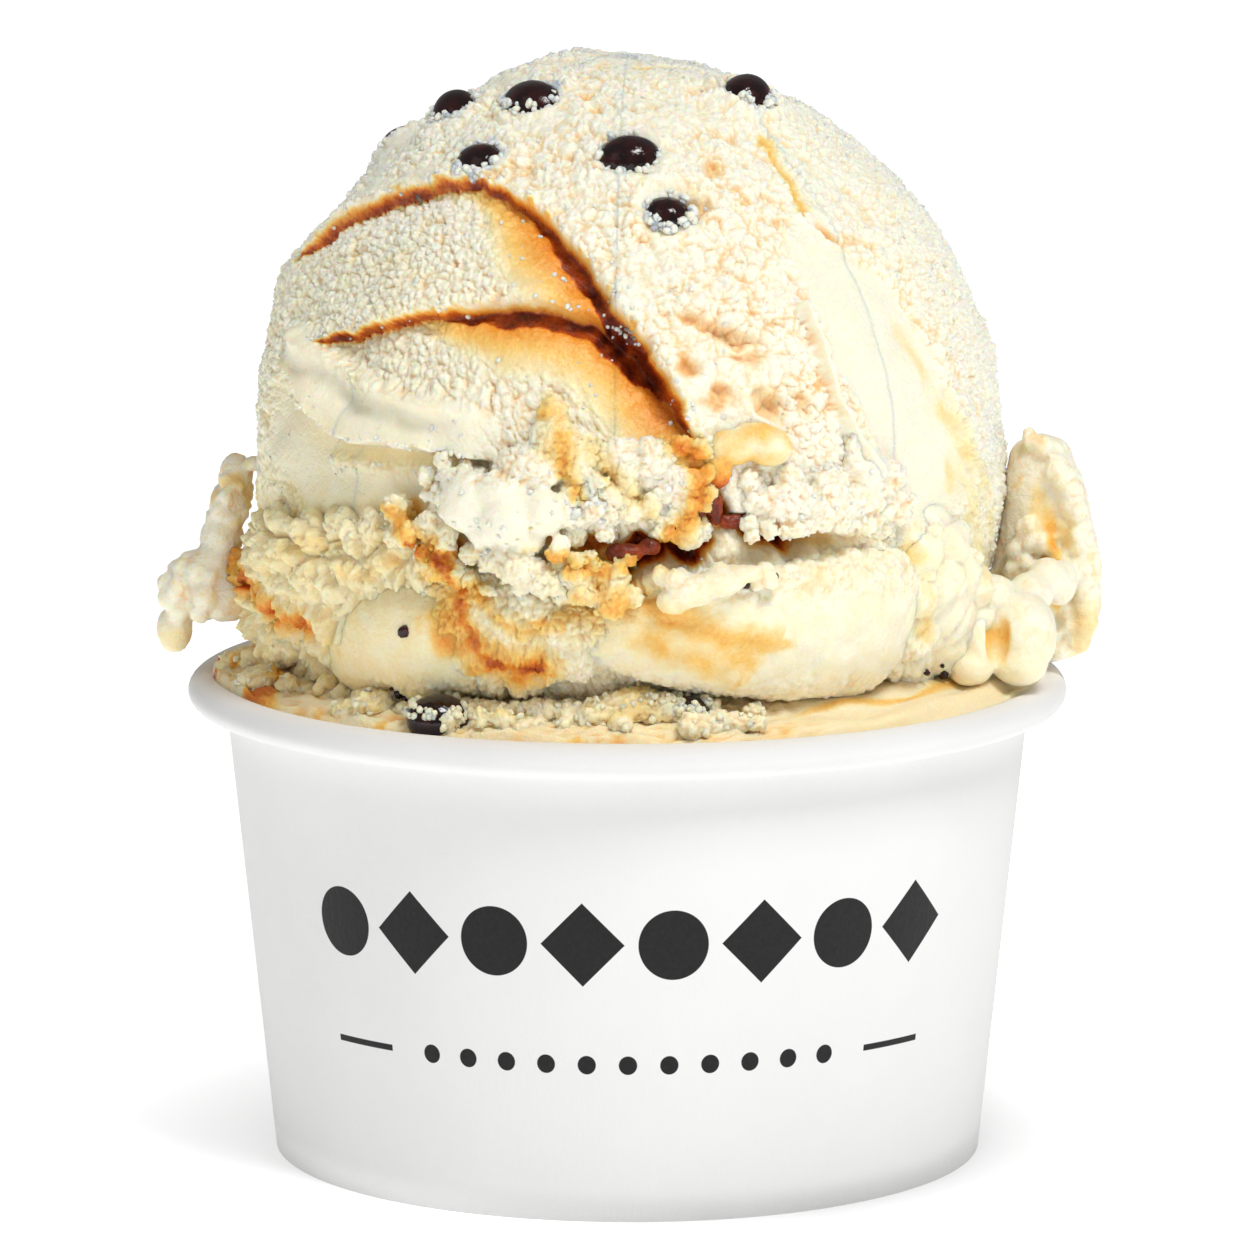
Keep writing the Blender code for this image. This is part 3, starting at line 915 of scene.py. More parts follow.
SHOULDERS = (  # azimuth, elevation, angles where the pressed-in side is deepest and where it ends, mm
    (92, 38, 12, 62, 1.45),
    (-98, 48, 4, 26, 2.0),
    (-94, 2, 4, 26, 1.7),
)
PEARL_SPOTS = []
for node in sorted(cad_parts):
    if node.startswith("pearl_ball"):
        corners = node_corners(node)
        PEARL_SPOTS.append((corners.min(axis=0) + corners.max(axis=0)) / 2 - CENTRE)
print("pearls on the ball", len(PEARL_SPOTS))


def sculpt_ball(places):
    """New places for the vertices of a sphere, with their caramel and painted warm shade, and the painted
    shade of their creases and pits.
    """
    azimuth, elevation = directions(places)
    outwards = places / BALL
    torn = crumble(places, 0.85, 31)
    dragged = crumble(places, 0.60, 37, drag=(0.45, 0.1, -0.8), stretch=3.4)
    grainy = crumble(places, 0.55, 43)
    height = 0.55 * lumps(places, 13, 1) + 0.35 * lumps(places, 6, 2) + 0.22 * lumps(places, 3, 3)
    sauce = stains_and_shade(places)
    smooth = np.zeros(len(places))
    clear = np.ones(len(places))
    for spot in PEARL_SPOTS:
        clear *= 1 - hill(np.maximum(np.linalg.norm(places - spot, axis=1) - 3.0, 0), 3.5)
    for turned, level, near, reach, deep in SHOULDERS:
        facing = outwards @ on_ball(turned, level, np.array(1.0))
        height -= deep * clear * rise(facing, math.cos(math.radians(reach)), math.cos(math.radians(near)))

    ripples = (
        (RIPPLE_1, 0.58, 0.86, 0.50, 0.92, 1.45),
        (RIPPLE_2, 0.42, 0.80, 0.38, 0.90, 1.75),
        (RIPPLE_3, 0.40, 0.90, 0.35, 0.85, 0.90),
        (RIPPLE_4, 0.30, 0.75, 0.30, 0.80, 1.00),
    )
    for path, *widths in ripples:
        step, caramel, sheen = ripple(places, path, torn, *widths)
        height += step
        sauce = np.maximum(sauce, caramel)
        smooth = np.maximum(smooth, sheen)

    along_lip, above_lip = beside(places, LIP)
    lip_fade = rise(along_lip, 0.0, 0.10) * (1 - rise(along_lip, 0.88, 1.0))
    edge = above_lip + 0.14 * grainy + 0.30 * lumps(places, 1.8, 62)
    height += lip_fade * 1.9 * rise(edge, -0.20, 0.25) * np.exp(-((np.maximum(edge, 0) / 5.5) ** 2))
    height -= lip_fade * 2.8 * (1 - rise(edge, -0.20, 0.25)) * np.exp(-np.maximum(-edge, 0) / 10.0)
    lip_band = lip_fade * rise(edge, 0.2, 0.7) * (1 - rise(edge, 4.2, 6.0))
    column = rise(-above_lip, 0.2, 0.8) * (1 - rise(-above_lip, 9.5, 11)) * lip_fade
    column *= (1 - rise(azimuth, -27, -22)) * rise(azimuth, -92, -82)
    # Painted shade on the smooth column below the fold's lip, deepest just under the lip.
    sauce = np.maximum(sauce, 0.10 * column + 0.10 * column * np.exp(above_lip / 3.0))
    along_row, above_row = beside(places, COLUMN_CRUMBS)
    inside_row = rise(along_row, 0.0, 0.05) * (1 - rise(along_row, 0.95, 1.0))
    row = inside_row * hill(above_row + 0.6 * lumps(places, 2.5, 61), 0.9)
    height += row * (0.8 + 0.5 * grainy)
    along_top, above_top = beside(places, FOLD_TOP)
    crest_fade = rise(along_top, 0, 0.1) * (1 - rise(along_top, 0.8, 1.0))
    height += 1.1 * crest_fade * hill(above_top + 0.25 * lumps(places, 1.6, 63), 0.85)
    height -= 0.7 * crest_fade * hill(above_top + 2.6, 1.3)
    smooth = np.maximum(smooth, np.maximum(lip_band, column * (1 - row)))

    along_patch, across_patch = beside(places, SCRAPED)
    half = 2.2 + 4.6 * rise(along_patch, 0.0, 0.45)
    patch = 1 - rise(np.abs(across_patch) + 0.9 * lumps(places, 2.2, 71), half - 0.4, half + 0.7)
    patch *= rise(along_patch, 0.0, 0.12) * (1 - rise(along_patch, 0.93, 1.0))
    height -= 0.9 * patch
    smooth = np.maximum(smooth, 0.95 * patch)
    along_ridge, across_ridge = beside(places, RIDGE)
    ridge = rise(along_ridge, 0.0, 0.03) * hill(across_ridge, 0.45 + 0.9 * rise(along_ridge, 0.7, 1.0))
    height += (1.7 + 0.6 * rise(along_ridge, 0.75, 0.95)) * ridge * (1 + 0.3 * lumps(places, 1.6, 72))
    smooth = np.maximum(smooth, ridge)

    for path, half, strength in ((STREAK, 0.9, 0.34), (TOP_STREAK, 0.5, 0.30)):
        along, across = beside(places, path)
        reach = np.where((along <= 0) | (along >= 1), 0.3, half)
        share = hill(across + 0.6 * lumps(places, 1.8, 73), reach)
        sauce = np.maximum(sauce, strength * share)
        height -= 0.2 * share

    for spot in PEARL_SPOTS:
        gap = np.linalg.norm(places - spot, axis=1)
        height += 0.75 * hill(gap - 3.9 - 0.3 * torn, 0.9) * (0.75 + 0.5 * lumps(places, 2.5, 75))

    warped = places + np.stack([lumps(places, 2.0, 74 + k) for k in range(3)], axis=1) * 0.9
    dented_total = np.zeros(len(places))
    for *shape, depth in PITS:
        share = dented(warped, *shape)
        height -= 1.2 * depth * share
        dented_total = np.maximum(dented_total, share)
    for *shape, depth, caramel in CAVITIES:
        share = dented(warped, *shape)
        height -= depth * share
        sauce = np.maximum(sauce, caramel * rise(share, 0.10, 0.75) * (1 + 0.15 * torn))

    right = rise(azimuth, 52, 62) * (1 - rise(azimuth, 150, 165))
    ledges = rise(azimuth, -80, -68) * (1 - rise(azimuth, 2, 10))
    ledges *= (1 - rise(beside(places, RIPPLE_1)[1], -0.6, 0.2))
    rough = np.clip(1 - smooth, 0, 1)
    calm = 0.42 + 0.58 * rise(lumps(places, 7, 81), -0.30, 0.30)
    relief = torn * 0.62 * calm + 0.22 * lumps(places, 1.7, 82)
    relief += (dragged * 0.56 - relief) * ledges
    relief += (grainy * 0.42 + 0.28 * torn - relief) * right
    height += rough * relief + (1 - rough) * 0.05 * grainy
    # Painted shade: creases in the relief and the dented pits get the darker, yellower colours.
    pit = rise(-(rough * relief), -0.12, 0.50) * 0.85 + 0.9 * dented_total
    return outwards * (BALL + height)[:, None], sauce, np.clip(pit, 0, 1)


# %% Wedges
MARGIN, SINK = 2.6, 0.5  # mm that a wedge runs on past its seam, and that it sinks there
LOWEST = -37.0  # elevation where the fill covers the ball
WEDGES = {  # left and right seam in degrees, and cuts across each edge of the first sphere
    "gelato_ball_left": (-100, -46, 3),
    "gelato_ball_front_left": (-46, -2, 3),
    "gelato_ball_front_right": (-2, 44, 3),
    "gelato_ball_right": (44, 98, 3),
    "gelato_ball_back": (98, 260, 1),
}


def past_seams(places, left, right):
    """How far places lie outside a wedge, in mm: negative inside it."""
    sides = []
    for seam, sign in ((left, -1), (right, 1)):
        around = math.radians(seam)
        sides.append(sign * (places @ np.array([math.cos(around), math.sin(around), 0.0])))
    return np.maximum(*sides)


def make_wedge(name, left, right, cuts):
    wedge = primitive(bpy.ops.mesh.primitive_ico_sphere_add, name, subdivisions=7, radius=BALL_RADIUS)
    low = BALL_RADIUS * math.sin(math.radians(LOWEST))

    def left_out(face):
        middle = face.calc_center_median()
        outside = past_seams(np.array([middle]) / MM, left, right)[0]
        return outside > MARGIN or middle.z < low

    edit(wedge, lambda: bpy.ops.mesh.delete(type="FACE"), left_out)

    def finer():
        bpy.ops.mesh.select_all(action="SELECT")
        bpy.ops.mesh.subdivide(number_cuts=cuts)

    edit(wedge, finer)
    places = get_places(wedge)
    places *= BALL / np.linalg.norm(places, axis=1, keepdims=True)
    sunk = SINK * np.clip(past_seams(places, left, right) / MARGIN, 0, None) ** 2
    made, sauce, pit = sculpt_ball(places)
    made -= places / BALL * sunk[:, None]
    set_places(wedge, made + CENTRE)
    set_attribute(wedge, "sauce", sauce)
    set_attribute(wedge, "pit", pit)

    def close():
        bpy.ops.mesh.select_non_manifold(extend=False)
        bpy.ops.mesh.extrude_edges_move()
        bpy.ops.mesh.merge(type="CENTER")
        bpy.ops.mesh.select_all(action="SELECT")
        bpy.ops.mesh.normals_make_consistent(inside=False)

    edit(wedge, close, mode="EDGE")
    return wedge


for name, shape in WEDGES.items():
    finish_piece(make_wedge(name, *shape), GELATO, "gelato", "gelato_ball")

# %% [markdown]
# ## Roughening any piece
#
# The lobes, heaps and dollops aren't spheres, so their crumbs are pushed out along each vertex's own
# normal. A mask keeps smooth what the paddle smoothed.


# %% Roughen
def roughen(piece, depth, size, salt, smooth=0.0, soft=0.25, drag=None, sauce=0.0, stains=1.0, chunk=0.0):
    """Crumbs depth mm deep and soft lumps, caramel and painted warm shade looked up, painted shade in the
    creases, and smooth spots left nearly plain.
    """
    places, normals = get_places(piece), get_normals(piece)
    relief = crumble(places, size, salt, drag) * (1 - smooth)
    grain = 0.10 * (1 - 0.8 * smooth) * crumble(places, 0.5, salt + 20)
    swell = soft * lumps(places, 4.5, salt + 9) + 0.5 * soft * lumps(places, 1.8, salt + 10)
    swell += chunk * (nodules(places, 4.4, salt + 30) - 0.7)
    set_places(piece, places + normals * (depth * relief + swell + grain)[:, None])
    set_attribute(piece, "sauce", np.maximum(stains * stains_and_shade(places - CENTRE), sauce))
    # Painted shade: the creases between crumbs get the darker, yellower colours.
    set_attribute(piece, "pit", 0.85 * rise(-relief, -0.15, 0.9))


# %% [markdown]
# ## Lobes round the foot of the ball
#
# Pressing the ball down folded its foot into thick lobes. A lobe is a sphere with its poles at the left
# and right, bent round the ball: each ring of vertices becomes a cross-section between the lobe's top
# and bottom outlines, as thick as given, with its inner side sunk in the ball.


# %% Lobes
def outline(points, azimuth):
    path = smooth_path(points, 12)
    return np.interp(azimuth, path[:, 0], path[:, 1])


def bend_lobe(name, top, bottom, thick, rings, segments, blunt=4.0, square=0.8, sunk=1.5):
    """A closed lobe between two outlines of (azimuth, elevation); thick is (azimuth, mm) points."""
    piece = primitive(
        bpy.ops.mesh.primitive_uv_sphere_add, name, segments=segments, ring_count=rings,
        radius=MM, rotation=(0, math.radians(90), 0),
    )
    x, y, z = get_places(piece).T
    ring = np.maximum(np.hypot(y, z), 1e-9)
    up, out = z / ring, -y / ring
    size = (1 - np.clip(np.abs(x), 0, 1) ** blunt) ** (1 / blunt)
    left, right = top[0][0], top[-1][0]
    azimuth = left + (right - left) * (x + 1) / 2
    high, low = outline(top, azimuth), outline(bottom, azimuth)
    level = np.sign(up) * np.abs(up) ** square
    elevation = (high + low) / 2 + (high - low) / 2 * size * level
    reach = np.where(out > 0, outline(thick, azimuth) + sunk, 1.5)
    distance = BALL - sunk + reach * size * np.sign(out) * np.abs(out) ** square
    set_places(piece, on_ball(azimuth, elevation, distance) + CENTRE)

    def outwards():
        bpy.ops.mesh.select_all(action="SELECT")
        bpy.ops.mesh.normals_make_consistent(inside=False)

    edit(piece, outwards)
    return piece


def spread_mask(piece, path, inner, outer):
    """1 within inner mm of a line on the ball, 0 past outer mm."""
    along, across = beside(get_places(piece) - CENTRE, path)
    return 1 - rise(np.abs(across), inner, outer)


# Each lobe has: top, bottom, thickness, rings, segments, crumb depth, crumb size, lumps, chunks and
# the band that is smooth.
LOBES = {}
LOBES["lobe_crest_left"] = (
    ((-92, -15), (-80, -11), (-70, -8.5), (-61, -7.5), (-52, -7), (-44, -5), (-36, -4.6), (-29, -2)),
    ((-92, -30), (-60, -32), (-40, -28), (-29, -24)),
    ((-92, 1.2), (-76, 3.2), (-55, 3.0), (-40, 2.2), (-29, 1.0)), 260, 160, 0.85, 1.15, 0.5, 2.2, None,
)
LOBES["lobe_foot_left"] = (
    ((-94, -17), (-84, -15.5), (-76, -17), (-68, -20), (-60, -23), (-52, -27)),
    ((-94, -32), (-80, -35), (-66, -37), (-52, -37)),
    ((-94, 1.8), (-84, 4.4), (-74, 4.4), (-64, 3.4), (-52, 2.0)), 180, 150, 0.85, 1.0, 0.6, 2.4, None,
)
LOBES["lobe_pillow_left"] = (
    ((-62, -26), (-55, -24), (-48, -20.5), (-42, -17), (-36, -15), (-30, -15.4), (-25, -17.5), (-20, -20)),
    ((-62, -31), (-55, -34.5), (-45, -35.5), (-30, -34.5), (-20, -32)),
    ((-62, 1.2), (-50, 3.4), (-38, 3.9), (-28, 3.4), (-20, 1.6)), 210, 150, 0.40, 0.7, 0.30, 0.0,
    line((-52, -26), (-44, -22), (-34, -21), (-26, -22)),
)
LOBES["lobe_middle_left"] = (
    ((-38, -15), (-30, -12), (-23, -11.0), (-14, -12.5), (-6, -15), (2, -18)),
    ((-38, -32), (-28, -34), (-16, -32), (-6, -29), (2, -25)),
    ((-38, 1.0), (-26, 2.9), (-14, 3.2), (-4, 2.6), (2, 1.2)), 240, 160, 0.55, 0.7, 0.45, 1.0, None,
)
LOBES["lobe_pillow_right"] = (
    ((-12, -17), (-5, -15), (2, -14.5), (9, -11.8), (15, -11.6), (23, -11.2), (31, -10.0), (41, -9.0),
     (50, -9.6)),
    ((-12, -25), (0, -28.5), (10, -31.5), (24, -33.5), (38, -35.5), (50, -36)),
    ((-12, 1.6), (4, 3.1), (20, 3.7), (36, 3.9), (46, 3.6), (50, 2.8)), 280, 170, 0.34, 0.7, 0.36, 0.3,
    line((-8, -19), (4, -20), (18, -21), (30, -21), (44, -22)),
)
LOBES["lobe_fold_right"] = (
    ((44, -12), (49, -5.5), (55, -6), (60, -9), (66, -14), (74, -20), (84, -26)),
    ((44, -26), (52, -37), (62, -38), (76, -36), (84, -33)),
    ((44, 1.6), (51, 3.0), (60, 3.4), (70, 3.9), (84, 1.6)), 190, 150, 0.42, 0.8, 0.8, 1.3,
    line((50, -8), (52, -13), (56, -19), (61, -24), (70, -28)),
)
LOBES["lobe_back_right"] = (
    ((96, -16), (110, -10), (128, -8), (146, -11), (160, -14), (174, -20)),
    ((96, -33), (115, -36), (140, -36), (160, -35), (174, -32)),
    ((96, 1.4), (118, 3.2), (145, 3.3), (174, 1.2)), 220, 130, 0.45, 0.9, 0.5, 0.8,
    line((104, -20), (124, -19), (146, -21), (160, -23)),
)
LOBES["lobe_back_left"] = (
    ((166, -18), (180, -13), (196, -11), (214, -12), (232, -11), (248, -15), (264, -20)),
    ((166, -31), (185, -35), (210, -36), (235, -35), (264, -32)),
    ((166, 1.2), (190, 3.0), (220, 3.4), (246, 2.6), (264, 1.2)), 240, 130, 0.55, 0.95, 0.5, 1.3,
    line((180, -22), (200, -20), (226, -21)),
)
for number, (name, shape) in enumerate(LOBES.items()):
    top, bottom, thick, rings, segments, depth, size, soft, chunk, band = shape
    lobe = bend_lobe(name, top, bottom, thick, rings, segments)
    smooth = 0.0 if band is None else 0.85 * spread_mask(lobe, band, 3.0, 5.4)
    roughen(lobe, depth, size, 80 + 7 * number, smooth, soft, chunk=chunk)
    finish_piece(lobe, GELATO, "gelato", "gelato_ball")

# %% [markdown]
# ## Heaps blocked out of blobs
#
# The rest is lumpy: a heap at the front, torn edges, and the dollops that were squeezed out at the
# sides. A sculptor would press pellets together. Here each pellet is a squashed sphere. Joined, they
# are remeshed into one skin, smoothed a little so that the joints melt, and then roughened.


# %% Blobs
def block_out(name, blobs, voxel, melt=3):
    """One skin round blobs of (place in mm, half-sizes in mm, turn in degrees about Z)."""
    pieces = []
    for place, halves, turn in blobs:
        pieces.append(
            primitive(
                bpy.ops.mesh.primitive_ico_sphere_add, name, subdivisions=3, radius=1.0,
                location=[x * MM for x in place], scale=[x * MM for x in halves],
                rotation=(0, 0, math.radians(turn)),
            )
        )
    for piece in pieces:
        piece.select_set(True)
    bpy.context.view_layer.objects.active = pieces[0]
    bpy.ops.object.join()
    piece = bpy.context.object
    piece.name = piece.data.name = name
    modify(piece, "REMESH", mode="VOXEL", voxel_size=voxel * MM)
    modify(piece, "SMOOTH", factor=0.5, iterations=melt)
    return piece


def at(azimuth, elevation, out=0.0):
    """A place on the ball, so many mm out from it, in the cup's millimetres."""
    return on_ball(azimuth, elevation, np.array(BALL + out)) + CENTRE


def pellets(seed, count, azimuths, elevations, halves, out=(-0.6, 0.6), flat=0.75):
    """Blobs strewn over a stretch of the ball."""
    draw = np.random.default_rng(seed)
    made = []
    for _ in range(count):
        azimuth, elevation = draw.uniform(*azimuths), draw.uniform(*elevations)
        half = draw.uniform(*halves)
        shape = half * draw.uniform(flat, 1.25, 3)
        made.append((at(azimuth, elevation, draw.uniform(*out)), shape, azimuth + draw.uniform(-40, 40)))
    return made


# %% The heap at the front
heap_blobs = [
    (at(-21.8, -1.6, 2.2), (3.1, 2.9, 3.1), -20),
    (at(-16.2, -3.2, 2.8), (2.9, 2.9, 2.7), -15),
    (at(-11.4, -2.4, 2.2), (2.4, 2.4, 2.3), -11),
    (at(-19.6, -5.2, 2.2), (2.1, 2.0, 1.9), -19),
    (at(-13.6, -5.8, 2.4), (1.8, 1.8, 1.7), -13),
    (at(-17.5, -0.2, 2.2), (2.9, 2.6, 2.4), -18),
    (at(-14.0, 3.4, 0.9), (3.6, 2.3, 2.4), -14),
    (at(-10.5, 7.2, 0.6), (2.5, 1.9, 2.6), -10),
    (at(-11.0, 11.0, 0.2), (1.5, 1.5, 2.0), -11),
    (at(-7.0, 5.0, 0.2), (2.2, 1.8, 3.2), -7),
    (at(-15.0, -10.0, 2.8), (2.2, 1.8, 1.7), -15),
    (at(-11.4, -12.0, 2.8), (2.0, 1.6, 1.3), -11),
    (at(-18.5, -9.0, 2.2), (1.7, 1.6, 1.5), -18),
]
heap_blobs += pellets(5, 16, (-27, -22), (-5, 4), (0.6, 1.2), (0.2, 1.2))
heap_blobs += pellets(7, 16, (-8, -4), (-6, 4), (0.6, 1.2), (0.4, 1.6))
heap_blobs += pellets(6, 26, (-24, -6), (-14, -7), (0.6, 1.3), (1.0, 3.0))
heap = block_out("heap_front", heap_blobs, 0.27, 3)
places = get_places(heap) - CENTRE
turn, lift = directions(places)
smooth_lump = rise(lift, -8, -6) * (1 - rise(lift, 0, 3)) * rise(turn, -26, -23) * (1 - rise(turn, -10, -7))
leaf = 0.24 * hill(turn + 10.5 - 0.25 * (lift - 8), 2.6) * rise(lift, 2, 6)
leaf *= 1 + 0.5 * lumps(places, 1.6, 142)
roughen(heap, 0.42, 0.62, 141, 0.95 * smooth_lump, 0.14, sauce=leaf, stains=1 - 0.85 * smooth_lump)
finish_piece(heap, GELATO, "gelato", "gelato_ball")

# %% Crumbly pieces beside the heap
crumbly = pellets(21, 70, (-8, 12), (-6, 7), (0.6, 1.5), (-0.7, 0.8))
crumbly += pellets(22, 30, (-10, 2), (-15, -9), (0.6, 1.4), (1.0, 3.0))
crumbly += pellets(23, 22, (-36, -24), (-12, -3), (0.6, 1.5), (0.2, 2.0))
crumbly += pellets(24, 16, (-30, -22), (-3, 3), (0.5, 1.1), (-0.4, 0.6))
crumbly += [(at(3.5, 4.6, 0.4), (2.0, 1.5, 1.7), 4), (at(8.0, 1.6, 0.5), (2.0, 1.5, 1.6), 8)]
torn_heap = block_out("heap_crumbs", crumbly, 0.27, 1)
roughen(torn_heap, 0.42, 0.62, 151, 0.0, soft=0.35)
finish_piece(torn_heap, GELATO, "gelato", "gelato_ball")

# %% The torn end of the right pillow
nub = [
    (at(8.6, -12.6, 3.4), (2.6, 2.0, 1.6), 9),
    (at(12.4, -11.6, 3.4), (2.6, 1.8, 1.4), 12),
    (at(6.2, -14.2, 3.2), (1.8, 1.6, 1.3), 6),
    (at(15.8, -10.8, 2.8), (2.0, 1.5, 1.0), 16),
]
nub += pellets(25, 26, (4, 20), (-13, -9.6), (0.5, 1.0), (1.8, 3.6))
nub_piece = block_out("torn_end_right", nub, 0.27, 3)
roughen(nub_piece, 0.16, 0.6, 156, 0.3, soft=0.22)
finish_piece(nub_piece, GELATO, "gelato", "gelato_ball")

# %% The torn edge over the cavity
torn_edge = pellets(31, 60, (17, 44), (-5.5, 1.5), (0.7, 1.6), (-0.6, 0.9))
torn_edge += pellets(32, 26, (16, 40), (-6.5, -4.5), (0.5, 1.0), (-0.2, 1.4))
torn_edge += [
    (at(36.8, 1.4, 0.5), (2.2, 1.5, 2.1), 37),
    (at(34.0, 4.5, 0.3), (1.0, 1.0, 2.8), 34),
    (at(22.5, -1.8, 0.5), (2.6, 1.6, 2.0), 22),
    (at(29.5, -2.4, 0.6), (2.8, 1.6, 2.0), 30),
    (at(35.5, -2.6, 0.5), (2.6, 1.5, 1.8), 35),
]
edge_piece = block_out("torn_edge_right", torn_edge, 0.27, 2)
places = get_places(edge_piece) - CENTRE
turn, lift = directions(places)
blob = hill((turn - 36.8) / 3.6, 1.0) * hill((lift - 2.5) / 4.0, 1.0)
roughen(edge_piece, 0.42, 0.62, 161, 0.85 * blob, soft=0.30)
finish_piece(edge_piece, GELATO, "gelato", "gelato_ball")

# %% The caramel lump and its strings
caramel = [
    (at(15.2, 6.2, 0.3), (2.5, 1.8, 1.9), 15),
    (at(20.4, 5.8, 0.6), (2.4, 1.8, 1.9), 19),
    (at(18.0, 7.8, 0.5), (2.6, 1.6, 1.4), 17),
    (at(13.0, 3.0, 0.1), (1.4, 1.2, 1.9), 13),
    (at(11.2, -0.4, 0.0), (1.0, 0.9, 2.0), 12),
    (at(9.6, -3.0, 0.0), (0.9, 0.8, 1.8), 10),
    (at(12.6, -2.6, 0.0), (0.7, 0.7, 1.8), 13),
    (at(7.8, -5.2, 0.2), (1.5, 0.9, 1.0), 8),
    (at(-0.5, -8.4, 0.8), (1.9, 1.1, 1.1), 0),
    (at(3.2, -7.6, 0.6), (1.2, 0.9, 0.9), 3),
    (at(15.4, -4.6, -0.4), (1.5, 0.9, 0.8), 15),
]
lump = block_out("caramel_lump", caramel, 0.25, 5)
places = get_places(lump) - CENTRE
turn, lift = directions(places)
shade = 0.24 + 0.62 * (1 - rise(lift + 0.35 * (turn - 15), -3, 6)) + 0.14 * lumps(places, 1.8, 171)
roughen(lump, 0.18, 0.7, 172, 0.4, soft=0.30, sauce=shade)
finish_piece(lump, GELATO, "gelato", "gelato_ball")
print("pellets", len(heap_blobs), len(crumbly), len(torn_edge))

# %% [markdown]
# ## Dollops at the sides
#
# Where the paddle let go, soft gelato hangs out over the rim: a knot with a drip at the left, a petal
# that curls out at the right, and a round drop in front of it.

# %% Left dollop
draw = np.random.default_rng(41)
left_blobs = [
    ((-44.4, -3.0, 58.8), (2.9, 2.9, 2.8), 0),
    ((-41.6, -3.6, 58.6), (3.0, 2.8, 2.6), 0),
    ((-47.3, -3.2, 55.2), (1.9, 1.9, 2.5), 0),
    ((-43.2, -2.8, 62.0), (2.4, 2.8, 2.2), 0),
    ((-42.4, -1.8, 64.6), (2.3, 3.0, 2.4), 0),
    ((-41.6, -0.8, 67.8), (2.1, 2.8, 2.6), 0),
    ((-40.9, 0.2, 70.8), (1.8, 2.4, 2.4), 0),
]
for _ in range(30):
    around, up = draw.uniform(0, 2 * math.pi), draw.uniform(-0.75, 1.0)
    ring = math.sqrt(1 - up * up)
    spot = np.array([math.cos(around) * ring * 3.3, math.sin(around) * ring * 3.2, up * 3.0])
    left_blobs.append((spot + (-44.6, -3.2, 59.0), draw.uniform(1.0, 1.6, 3), 0))
for _ in range(34):
    up = draw.uniform(62.0, 72.5)
    middle = -41.4 + (67.5 - up) * -0.30
    spot = (middle + draw.uniform(-1.5, 1.2), draw.uniform(-3.6, 1.0), up)
    left_blobs.append((spot, draw.uniform(0.7, 1.25, 3), 0))
left = block_out("dollop_knot_left", left_blobs, 0.28, 2)
places = get_places(left)
drip = 0.17 * (1 - rise(places[:, 2], 54.8, 57.0))
tan = 0.24 * rise(lumps(places, 3.0, 182), 0.05, 0.55) * rise(places[:, 2], 60, 64)
roughen(left, 0.07, 0.7, 181, 0.2, soft=0.12, sauce=np.maximum(np.maximum(drip, tan), 0.05), stains=0.0)
finish_piece(left, GELATO, "gelato", "dollop_left")

# %% Right petal
PETAL_UP = (51.5, 53.5, 57.0, 61.0, 65.5, 70.0, 73.5, 75.5)
PETAL_OUT = (46.6, 48.2, 49.2, 49.4, 48.4, 47.2, 45.4, 43.4)
PETAL_IN = (41.0, 37.5, 36.0, 37.5, 38.5, 39.0, 39.4, 39.6)
petal_blobs = []
for up in np.arange(54.0, 73.0, 1.0):
    outer, inner = np.interp(up, PETAL_UP, PETAL_OUT), np.interp(up, PETAL_UP, PETAL_IN)
    half = (outer - inner) / 2
    petal_blobs.append((((outer + inner) / 2 + 0.4, 1.0, up), (half, 3.4, 3.2), 0))
    petal_blobs.append(((outer - 1.4, -2.4, up), draw.uniform(1.1, 1.6, 3), 0))
for _ in range(56):
    up = draw.uniform(52.5, 75.0)
    outer = np.interp(up, PETAL_UP, PETAL_OUT)
    petal_blobs.append(
        ((outer - draw.uniform(0.8, 2.6), draw.uniform(-3.6, 0.5), up), draw.uniform(0.7, 1.3, 3), 0)
    )
for _ in range(40):
    up = draw.uniform(53.0, 66.0)
    petal_blobs.append(
        ((draw.uniform(40.0, 46.5), draw.uniform(-4.0, -1.5), up), draw.uniform(0.7, 1.4, 3), 0)
    )
petal = block_out("dollop_petal_right", petal_blobs, 0.32, 2)
places = get_places(petal)
outer = np.interp(places[:, 2], PETAL_UP, PETAL_OUT)
hollow = hill(places[:, 0] - outer + 4.6 + 0.8 * lumps(places, 3, 190), 1.1) * (places[:, 1] < 0)
hollow *= (1 - rise(places[:, 2], 68, 72)) * rise(places[:, 2], 55, 58)
tint = 0.44 * hollow * (0.8 + 0.8 * lumps(places, 2.0, 191))
tint = np.maximum(tint, 0.20 * (1 - rise(places[:, 2], 56, 61)) * rise(places[:, 0], 45.0, 47.0))
tint = np.maximum(tint, 0.20 * rise(lumps(places, 4.0, 192), 0.1, 0.6))
roughen(petal, 0.12, 0.8, 193, 0.2, soft=0.22, sauce=np.maximum(tint, 0.06), stains=0.0)
finish_piece(petal, GELATO, "gelato", "dollop_right")

